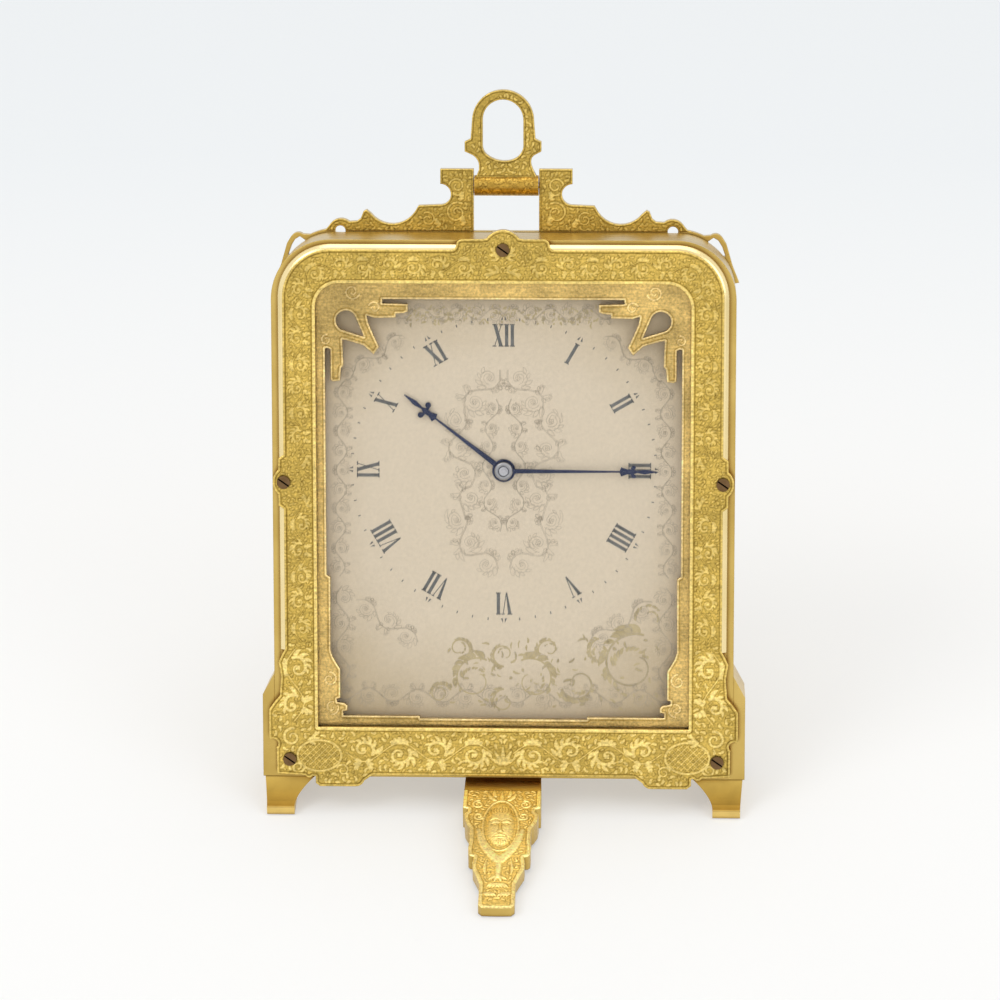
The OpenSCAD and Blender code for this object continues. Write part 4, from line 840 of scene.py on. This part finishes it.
bend = arc([34.6, 108.2], 7.6, 90, 0)
upper = np.concatenate([[[5.6, RAIL_V], [34.6, RAIL_V]], bend, [[RAIL_U, 77.5]]])
bezel.stamp(mirrored(vine(upper, RAIL_HALF, RAIL_PITCH)), 0.42)
bezel.stamp(mirrored(vine([[RAIL_U, 64.5], [RAIL_U, 37.0]], RAIL_HALF, RAIL_PITCH)), 0.6)
bezel.stamp(mirrored(vine([[43.3, 35.5], [43.7, 20.0]], LOW_RAIL_HALF, 7.7)), 1.0)
bezel.stamp(mirrored(vine([[2.2, APRON_V], [33.0, APRON_V]], LOW_RAIL_HALF, 7.4)), 0.95)
palmette = []
for heading in range(30, 151, 30):
    palmette.append(leaf([0, APRON_V - 2.6], heading, 4.4 - abs(heading - 90) / 45, 0.45, 0))
trellis = []
for slant in (-1, 1):
    for k in range(-5, 6):
        line = TRELLIS + np.linspace([-3, -3 * slant], [3, 3 * slant], 60) + [TRELLIS_PITCH * k, 0]
        held = np.hypot(*((line - TRELLIS) / (TRELLIS_HALF - 0.4)).T) < 1
        if held.sum() > 2:
            trellis.append(even(line[held], 0.1))
trellis.append(even(arc(TRELLIS, TRELLIS_HALF, 0, 360, 90), 0.26))
bezel.stamp(palmette + mirrored(trellis), 0.8)
lug_leaves = spray([40.6, 76.6], 265, 3.4, 0.4, 1) + spray([40.6, 65.2], 95, 3.4, 0.4, -1)
lug_leaves += spray([0.6, 117.4], 30, 3.2, 0.4, 1) + spray([0.6, 114.6], 10, 3.6, 0.42, -1)
bezel.stamp(mirrored(lug_leaves), 0.4)
corner_scrolls = spray([41.0, 16.0], 165, 3.4, 0.36, -1) + [
    spiral((44.2, 16.6), 1.9, 0.3, 100, -460, 0.32, 0.18),
    spiral((43.0, 10.2), 1.3, 0.3, 180, 460, 0.26, 0.14),
    spiral((33.6, 9.6), 1.3, 0.3, 20, 430, 0.2, 0.12),
]
bezel.stamp(mirrored(corner_scrolls), 0.9)
bezel.fill(0.7, 1.0, on_low_rails, 1.5, 0.8)
bezel.fill(0.6, 0.8, off_window, 1.0, 0.3)
bezel_profile = framed(bezel, 0.34, 0.14, shine=0.6, inner=(0.6, 0.92))
engraved_skin("bezel_engraving", bezel, "case", 0.18, bezel_profile, gilt_engraved, off_window)

STEP_OUT = 1.02
STEP_IN = -0.06
STEP_DEEP = -2.15
STEP_FOOT = 35.2
STEP_TOP = 119.2
STEP_BEND = 10.0
side_path = [[-BEZEL_HALF, v] for v in np.linspace(STEP_FOOT, 109.0, 30)]
bend_path = arc([-BEZEL_HALF + STEP_BEND, STEP_TOP - STEP_BEND], STEP_BEND, 180, 90, 24)
half_path = np.concatenate([side_path, bend_path, [[u, STEP_TOP] for u in np.linspace(-35, -1, 16)]])
step_path = np.concatenate([half_path, half_path[::-1] * [-1, 1]])
step_section = [(STEP_IN, -0.26), (0.35, -0.42), (0.8, -0.82), (STEP_OUT, -1.1), (STEP_OUT, STEP_DEEP),
                (STEP_IN, STEP_DEEP)]
swept("bezel_step", step_path, step_section, FRONT, gilt_painted_highlight, "case")

CREST_FOOT = 121.1


def above_case(points):
    return points[:, 1] > CREST_FOOT


crest_scrolls = [
    spiral((10.3, 130.6), 2.0, 0.3, 240, 520, 0.22, 0.14),
    spiral((10.4, 125.0), 2.2, 0.3, 120, -520, 0.22, 0.14),
    spiral((16.4, 123.6), 1.5, 0.3, 60, 460, 0.18, 0.12),
    spiral((23.2, 122.4), 0.9, 0.2, 60, 400, 0.15, 0.1),
]
for base, heading in (((9.0, 127.6), 60), ((12.2, 127.8), 110), ((8.4, 122.6), 40), ((13.6, 122.4), 20)):
    crest_scrolls += spray(base, heading, 2.0, 0.35, 1)
for side_name, plane in (("front", FRONT), ("back", BACK)):
    crest = Face("crest", plane)
    crest.stamp(mirrored(crest_scrolls), 0.7)
    crest.fill(0.6, 0.6, above_case, 1.3, 0.4)
    engraved_skin("crest_engraving_" + side_name, crest, "case", 0.18, framed(crest, 0.2, 0.12, 0.2, 0.55),
                  crest_engraved, above_case)
    ring = Face("ring_handle", plane)
    ring.fill(0.5, 0.45, everywhere, 1.2, 0.7)
    engraved_skin("ring_engraving_" + side_name, ring, "handle", 0.15, framed(ring, 0.2, 0.1, 0.2, 0.6),
                  crest_engraved, everywhere)

BARREL_R = 2.1
BARREL_HALF = 6.7
BARREL_CLEAR = 0.02
BARREL_RISE = 0.08
barrel_axis = FRONT.local(joints["handle_hinge"]["pos_m"])
barrel_round = 2 * math.pi * BARREL_R
barrel = Relief([np.array([[-BARREL_HALF, 0], [BARREL_HALF, barrel_round]])])
for s in np.arange(1.6, barrel_round, 3.3):
    barrel.stamp(mirrored(vine([[0.3, s], [6.2, s]], 1.5, 3.0)), 0.5)
columns = np.linspace(-BARREL_HALF, BARREL_HALF, 90)
rows = np.linspace(0, barrel_round, 84)[:-1]
spots = np.stack(np.meshgrid(columns, rows), -1).reshape(-1, 2)
relief = barrel.at(spots)
r = BARREL_R + BARREL_CLEAR + BARREL_RISE * relief
turn = spots[:, 1] / BARREL_R
points = np.column_stack([spots[:, 0], barrel_axis[1] + r * np.sin(turn), barrel_axis[2] + r * np.cos(turn)])
faces = joined(len(rows), len(columns), len(columns) - 1)
barrel_skin = new_object("barrel_engraving", FRONT.world(points), faces, barrel_engraved_painted_shade, "handle",
                         smooth=True)
set_relief(barrel_skin, relief)


def in_window(points):
    x, y = np.abs(points[:, 0]), points[:, 1]
    return (x < window_half + 0.8) & (y > window_foot - 0.8) & (y < window_top + 0.8)


mask = Face("dial_mask", FRONT)
mask.stamp(mirrored([
    spiral((31.2, 110.2), 1.6, 0.3, 200, 480, 0.2, 0.12),
    spiral((26.6, 107.0), 1.2, 0.25, 20, 430, 0.18, 0.1),
    spiral((36.6, 100.2), 1.1, 0.25, 100, -430, 0.18, 0.1),
    spiral((36.4, 28.6), 1.5, 0.3, 90, 460, 0.2, 0.12),
    spiral((36.0, 22.6), 1.6, 0.3, 270, -460, 0.2, 0.12),
]), 0.8)
engraved_skin("mask_relief", mask, "case", 0.2, framed(mask, 0.3, 0.09), pale_gilt, in_window)


# Front foot with its oval

front_foot = Face("front_foot", face_plane("front_foot", [0, 0, 1], [0, 1, 0]))
toe = front_foot.foot
OVAL = np.array([0.0, toe + 25.6])
OVAL_HALF = np.array([3.7, 7.9])
HEAD = OVAL + [0, 0.2]
HEAD_HALF = np.array([2.9, 6.2])


def off_plinth(points):
    return points[:, 1] < toe + 37.0


def off_head(points):
    beside = np.hypot(*((points - OVAL) / OVAL_HALF).T) > 1.1
    return off_plinth(points) & beside & (points[:, 1] > toe + 2.6)


def bulge(points, centre, half):
    return np.exp(-(((points - centre) / half) ** 2).sum(1))


def calm_face(points):
    """Rise of a plain face on the usual proportions: eyes at half its height, nose and mouth below."""
    p = (points - HEAD) / (2 * HEAD_HALF)
    dome = 0.3 * np.sqrt(np.clip(1 - 4 * (p ** 2).sum(1), 0, 1))
    nose = 0.16 * bulge(p, [0, -0.1], [0.06, 0.11]) + 0.08 * bulge(p, [0, -0.19], [0.1, 0.035])
    lips = 0.08 * bulge(p, [0, -0.28], [0.13, 0.018]) + 0.08 * bulge(p, [0, -0.335], [0.1, 0.02])
    rise = dome + nose + lips + 0.07 * bulge(p, [0, -0.43], [0.12, 0.04])
    for side in (-1, 1):
        rise -= 0.1 * bulge(p, [side * 0.2, 0.0], [0.14, 0.05])
        rise += 0.1 * bulge(p, [side * 0.2, -0.005], [0.08, 0.022])
    return np.where(dome > 0, rise, 0)


def thin(points, half=0.09):
    """Thin even stroke through a few points."""
    points = np.asarray(points, float)
    share = np.linspace(0, len(points) - 1, 12 * len(points))
    return even(np.stack([np.interp(share, range(len(points)), points[:, k]) for k in (0, 1)], 1), half)


def face_lines():
    """Cut lines of the face, the hair above it and the beard below, in shares of the head's size."""
    lines = [
        thin(arc([0.2, -0.03], [0.13, 0.055], 15, 165)),
        thin(arc([0.2, 0.01], [0.11, 0.03], 200, 340)),
        thin(arc([0.21, 0.03], [0.19, 0.085], 30, 155), 0.12),
        thin([[0.05, 0.03], [0.05, -0.12], [0.12, -0.19]]),
        thin([[0.11, -0.2], [0.05, -0.225], [0, -0.215]]),
        thin([[0, -0.305], [0.08, -0.3], [0.17, -0.315]], 0.11),
        thin([[0, -0.37], [0.08, -0.36]]),
        thin([[0.04, -0.245], [0.16, -0.25], [0.27, -0.33]]),
    ]
    for lean in 0.09 * np.arange(5):
        drop = lean ** 2
        lines.append(thin([[0.04 + lean, 0.30 - 0.6 * drop], [0.07 + 1.1 * lean, 0.38 - 0.8 * drop],
                           [0.03 + 1.25 * lean, 0.46 - drop]]))
        lines.append(thin([[0.03 + 0.8 * lean, -0.40 + 0.5 * drop], [0.05 + lean, -0.46 + 0.6 * drop],
                           [0.02 + 1.2 * lean, -0.53 + 0.8 * drop]]))
    return mirrored([(points * 2 * HEAD_HALF, radii) for points, radii in lines])


arm = thin(np.array([[0.3, 15.0], [1.6, 16.6], [3.0, 18.8], [4.0, 21.2], [4.5, 24.2]]) + [0, toe])[0]
front_foot.stamp(mirrored([(arm, np.linspace(1.15, 0.5, len(arm)))]), 0.95)
front_foot.stamp([(np.linspace([0, toe + 9.6], [0, toe + 15.4], 60), np.linspace(0.55, 0.75, 60))], 0.95)
scrolls = [
    leaf([0.2, toe + 9.9], 335, 2.2, 0.32, -25, 1),
    leaf([0.2, toe + 9.6], 300, 1.6, 0.28, -25, 1),
    leaf([2.6, toe + 10.2], 80, 5.2, 0.3, 25, 1),
    spiral([4.6, toe + 28.6], 1.1, 0.25, 200, 460, 0.26, 0.16),
    spiral([4.9, toe + 32.4], 1.2, 0.3, 100, -460, 0.28, 0.16),
    leaf([1.0, toe + 33.6], 25, 3.4, 0.5, 60),
    leaf([1.2, toe + 34.6], 60, 2.6, 0.42, 40),
    leaf([0.0, toe + 33.0], 90, 3.4, 0.45, 0),
]
for k in range(4):
    scrolls.append(leaf([0.1 + 0.6 * k, toe + 3.4], 70, 2.4, 0.24, -60, 1))
    scrolls.append(leaf([0.4 + 0.6 * k, toe + 6.2], 110, 2.2, 0.22, 50, 1))
front_foot.stamp([even(arc(OVAL, OVAL_HALF, 0, 360, 160), 0.24)] + mirrored(scrolls), 0.8)
front_foot.fill(0.6, 1.0, off_head, 1.2, 0.4)
head_line = np.linspace(HEAD - [0, 0.98 * HEAD_HALF[1]], HEAD + [0, 0.98 * HEAD_HALF[1]], 90)
head_width = HEAD_HALF[0] * np.sqrt(1 - ((head_line[:, 1] - HEAD[1]) / HEAD_HALF[1]) ** 2)
front_foot.stamp([(head_line, head_width)], 0.7)
front_foot.cut(moved(face_lines(), HEAD))
foot_frame = framed(front_foot, 0.75, 0.26, 0.16)


def foot_profile(points, gap):
    rise, relief = foot_frame(points, gap)
    return rise + calm_face(points), relief


engraved_skin("foot_relief", front_foot, "foot", 0.15, foot_profile, foot_engraved_painted_light, off_plinth)


# Back of the case

BORDER = 6.0
BORDER_HALF = 3.6
BORDER_PITCH = 8.5
cover = Face("back_cover", BACK)
u, low_v, high_v = cover.half - BORDER, cover.foot + BORDER, cover.head - BORDER
for path in ([[2, low_v], [u - 4, low_v]], [[u, low_v], [u, high_v - 8]], [[8, high_v], [u - 8, high_v]]):
    cover.stamp(mirrored(vine(path, BORDER_HALF, BORDER_PITCH)), 0.8)
engraved_skin("back_engraving", cover, "case", 0.33, framed(cover, 0.9, 0.1), gilt_engraved, everywhere)

strut = Face("strut", face_plane("strut", depth_axis, rise_axis))
strut.stamp(vine([[0, strut.foot + BORDER], [0, strut.head - BORDER]], 3.2, 8.0), 0.8)
engraved_skin("strut_engraving", strut, "strut", 0.25, framed(strut, 0.7, 0.1), gilt_engraved, everywhere)


# Dial

dial_level = flat_level("dial", FRONT)
SUNK = 0.02


def on_face(make, name, drawn, height, material):
    """Wax, lines or gilding on the dial."""
    make(name, drawn, FRONT, dial_level - SUNK, height, material, "case", "silvered")


def bar(x0, x1, y0, y1):
    return [(x0, y0), (x1, y0), (x1, y1), (x0, y1)]


NUMERAL_FOOT = 25.9
NUMERAL_HEIGHT = 4.7
NUMERAL_SQUEEZE = 0.6
SERIF = 0.05
GLYPHS = {
    "I": (0.42, [bar(-0.12, 0.12, 0, 1), bar(-0.18, 0.18, 0, SERIF), bar(-0.18, 0.18, 1 - SERIF, 1)]),
    "V": (0.82, [[(-0.37, 1), (-0.03, 0), (0.07, 0), (-0.11, 1)], [(0.24, 1), (0.0, 0), (0.06, 0), (0.3, 1)],
                 bar(-0.42, -0.05, 1 - SERIF, 1), bar(0.15, 0.39, 1 - SERIF, 1)]),
    "X": (0.84, [[(0.10, 0), (0.36, 0), (-0.10, 1), (-0.36, 1)],
                 [(-0.29, 0), (-0.23, 0), (0.29, 1), (0.23, 1)],
                 bar(-0.40, -0.12, 0, SERIF), bar(0.04, 0.41, 0, SERIF),
                 bar(-0.41, -0.04, 1 - SERIF, 1), bar(0.12, 0.40, 1 - SERIF, 1)]),
}
NUMERALS = ["XII", "I", "II", "III", "IIII", "V", "VI", "VII", "VIII", "IX", "X", "XI"]


def on_dial(points, hour):
    """Points in a numeral's own frame, across and outwards, turned to their hour."""
    a = math.radians(30 * hour)
    x, y = np.asarray(points, float).T
    return dial_centre + np.stack([x * math.cos(a) + y * math.sin(a), y * math.cos(a) - x * math.sin(a)], 1)


shapes = []
for hour, word in enumerate(NUMERALS):
    x = -sum(GLYPHS[letter][0] for letter in word) / 2
    for letter in word:
        wide, outlines = GLYPHS[letter]
        for outline in outlines:
            placed = (np.array(outline) + [x + wide / 2, 0]) * [NUMERAL_SQUEEZE, 1] * NUMERAL_HEIGHT
            shapes.append(on_dial(placed + [0, NUMERAL_FOOT], hour))
        x += wide
on_face(plates, "dial_numerals", shapes, 0.05, slate)

TRACK_R = 31.4
TICK = 0.55
MARK = 0.95
shapes = []
for minute in range(60):
    if minute % 5:
        shapes.append(on_dial(bar(-0.1, 0.1, TRACK_R, TRACK_R + TICK), minute / 5))
    else:
        for side in (-1, 1):
            foot = side * 0.42
            mark = [(foot - 0.22, TRACK_R), (foot + 0.22, TRACK_R), (side * 0.2, TRACK_R + MARK)]
            shapes.append(on_dial(mark, minute / 5))
on_face(plates, "minute_track", shapes, 0.045, slate)

FINE = 0.036
arabesque = vine([[1.2, -21], [7.0, -17], [9.6, -10], [6.4, -3.6], [9.6, 4], [9.4, 11], [4.4, 17], [0.8, 21]],
                 3.6, 5.6)
arabesque += vine([[0.8, -13], [3.6, -6], [3.4, 2], [3.0, 8], [1.6, 15]], 2.0, 4.0)
fine_lines = moved(mirrored(outlined(arabesque, FINE)), dial_centre)
border = vine([[0, 105.4], [23, 105.6]], 2.4, 3.8)
border += vine([[21, 100.8], [33.4, 92], [34.4, 50]], 2.2, 4.2)
border += vine([[33.8, 48], [33.8, 25], [20, 24.6], [0, 24.6]], 2.8, 5.0)
border += vine([[18, 36], [31, 45]], 2.8, 5.0)
fine_lines += mirrored(outlined(border, FINE))
on_face(ribbons, "dial_engraving", fine_lines, 0.03, engraving)

VOLUTES = (
    (27.0, 31.6, 6.8, 70, 340), (6.0, 28.2, 4.8, 120, -350), (-6.0, 28.2, 4.8, 60, 350),
    (15.6, 27.6, 3.8, 200, 330), (30.6, 41.6, 2.8, 200, -320), (-13.4, 25.0, 2.4, 20, 330),
    (0.0, 23.6, 2.6, 90, 330), (-9.4, 34.8, 2.4, 320, 330), (9.4, 34.8, 2.4, 220, -330),
    (20.4, 34.4, 2.8, 100, 320), (0.0, 33.6, 2.6, 270, -330),
)
KEPT_GILDING = 0.85
gilding = []
for x, y, r, start, turn in VOLUTES:
    stem = spiral((x, y), r, 0.3 * r, start, turn, 0.2, 0.1)
    inner = spiral((x, y), 0.5 * r, 0.15 * r, start + 120, -turn, 0.16, 0.08)
    side = math.copysign(1, turn)
    gilding += [stem] + lobed(stem, side, 0.46 * r, 0.13 * r) + lobed(inner, -side, 0.3 * r, 0.13 * r)
for spot in rng.uniform([-12, 22.5], [34, 37.0], (110, 2)):
    gilding.append(leaf(spot, rng.uniform(0, 360), rng.uniform(0.8, 1.9), rng.uniform(0.1, 0.3), 60))
gilding = [stroke for stroke in gilding if rng.uniform() < KEPT_GILDING]
for spot in rng.uniform([-20, 103.4], [19, 106.8], (190, 2)):
    gilding.append(leaf(spot, rng.uniform(0, 360), rng.uniform(0.5, 1.3), rng.uniform(0.1, 0.24), 60))
on_face(ribbons, "worn_gilding", gilding, 0.028, worn_gold)
on_face(ribbons, "gilding_outlines", outlined(gilding[::3], FINE), 0.07, engraving)

hand_level = top_level("minute_hand", FRONT)
collet = [(1.92, 0), (1.9, 0.25), (1.6, 0.42), (1.2, 0.45), (1.06, 0.3), (1.06, 0)]
turned("hand_collet", FRONT, dial_centre, [(r, hand_level + rise) for r, rise in collet], bright_steel,
       "minute")


# Light, floor and camera

MIDDLE = Vector((0, 0.02, 0.06))


def soft_light(name, place, size, power):
    """Round lamp that looks at the clock."""
    light = bpy.data.lights.new(name, "AREA")
    light.shape = "DISK"
    light.size = size
    light.energy = power
    obj = bpy.data.objects.new(name, light)
    obj.location = place
    obj.rotation_euler = (MIDDLE - Vector(place)).to_track_quat("-Z", "Y").to_euler()
    bpy.context.scene.collection.objects.link(obj)


def plainly_seen(tree):
    """1 for what the camera sees, also by way of metal or glass, and 0 for what lights the object."""
    ray = tree.nodes.new("ShaderNodeLightPath")
    seen = ray.outputs["Is Camera Ray"]
    for kind in ("Is Glossy Ray", "Is Transmission Ray"):
        either = tree.nodes.new("ShaderNodeMath")
        either.operation = "MAXIMUM"
        tree.links.new(seen, either.inputs[0])
        tree.links.new(ray.outputs[kind], either.inputs[1])
        seen = either.outputs[0]
    return seen


soft_light("key_light", (-0.6, -0.35, 0.95), 0.6, 2.6)
soft_light("top_light", (0.1, 0.25, 1.1), 0.9, 2.2)
soft_light("fill_light", (0.7, -0.5, 0.6), 0.6, 1.2)

ROOM_LIGHT = 0.72
world = bpy.data.worlds.new("studio")
world.use_nodes = True
sky = world.node_tree
level = sky.nodes.new("ShaderNodeMapRange")
level.inputs["To Min"].default_value = ROOM_LIGHT
level.inputs["To Max"].default_value = 1.0
sky.links.new(plainly_seen(sky), level.inputs["Value"])
sky.nodes["Background"].inputs["Color"].default_value = (1.0, 1.0, 1.0, 1)
sky.links.new(level.outputs["Result"], sky.nodes["Background"].inputs["Strength"])
bpy.context.scene.world = world

LIFT = 0.42
FADE_NEAR, FADE_FAR = 0.12, 0.32
FLOOR_LOW, FLOOR_HIGH = (-4, -4), (4, 6)
FLOOR_DROP = 0.0002
pale_floor = Shader("pale_floor")
depth = pale_floor.node("ShaderNodeSeparateXYZ", {"Vector": pale_floor.place()}).outputs["Y"]
pale = pale_floor.mix(pale_floor.noise(3, 2), (0.94, 0.94, 0.93), (0.955, 0.955, 0.945))
tone = pale_floor.mix(pale_floor.share(depth, FADE_NEAR, FADE_FAR), pale, (0.86, 0.885, 0.90))
pale_floor.set(base_color=tone, roughness=0.8)
glow = pale_floor.node("ShaderNodeEmission", {"Color": tone, "Strength": 1.0}).outputs[0]
lift = pale_floor.math("MULTIPLY", plainly_seen(pale_floor.tree), LIFT)
blend = pale_floor.node("ShaderNodeMixShader", {0: lift, 1: pale_floor.surface.outputs[0], 2: glow})
pale_floor.tree.links.new(blend.outputs[0], pale_floor.output.inputs["Surface"])
floor_mesh = bpy.data.meshes.new("floor")
floor_corners = bar(FLOOR_LOW[0], FLOOR_HIGH[0], FLOOR_LOW[1], FLOOR_HIGH[1])
floor_mesh.from_pydata([(x, y, 0) for x, y in floor_corners], [], [(0, 1, 2, 3)])
floor_mesh.materials.append(pale_floor.material)
floor = bpy.data.objects.new("floor", floor_mesh)
floor.location.z = -FLOOR_DROP
bpy.context.scene.collection.objects.link(floor)

LENS = 156.5
SENSOR = 36.0
AIM = (-0.6, 67.22, 0.0)
DISTANCE = 900.0
TILT = math.radians(9.7)
TURN = math.radians(2.4)
ROLL = math.radians(-0.04)
way = [math.sin(TURN) * math.cos(TILT), math.sin(TILT), math.cos(TURN) * math.cos(TILT)]
towards = Vector(np.array(way) @ FRONT.axes)
place = Vector(FRONT.world(AIM)) + towards * DISTANCE * MM
level_right = (-towards).cross(Vector(rise_axis)).normalized()
level_up = level_right.cross(-towards)
right = level_right * math.cos(ROLL) + level_up * math.sin(ROLL)
up = level_up * math.cos(ROLL) - level_right * math.sin(ROLL)
camera_data = bpy.data.cameras.new("camera")
camera_data.lens = LENS
camera_data.sensor_width = SENSOR
camera_data.clip_start = 0.01
camera = bpy.data.objects.new("camera", camera_data)
camera.matrix_world = Matrix.Translation(place) @ Matrix((right, up, towards)).transposed().to_4x4()
bpy.context.scene.collection.objects.link(camera)
bpy.context.scene.camera = camera

bpy.context.scene.view_settings.view_transform = "Standard"
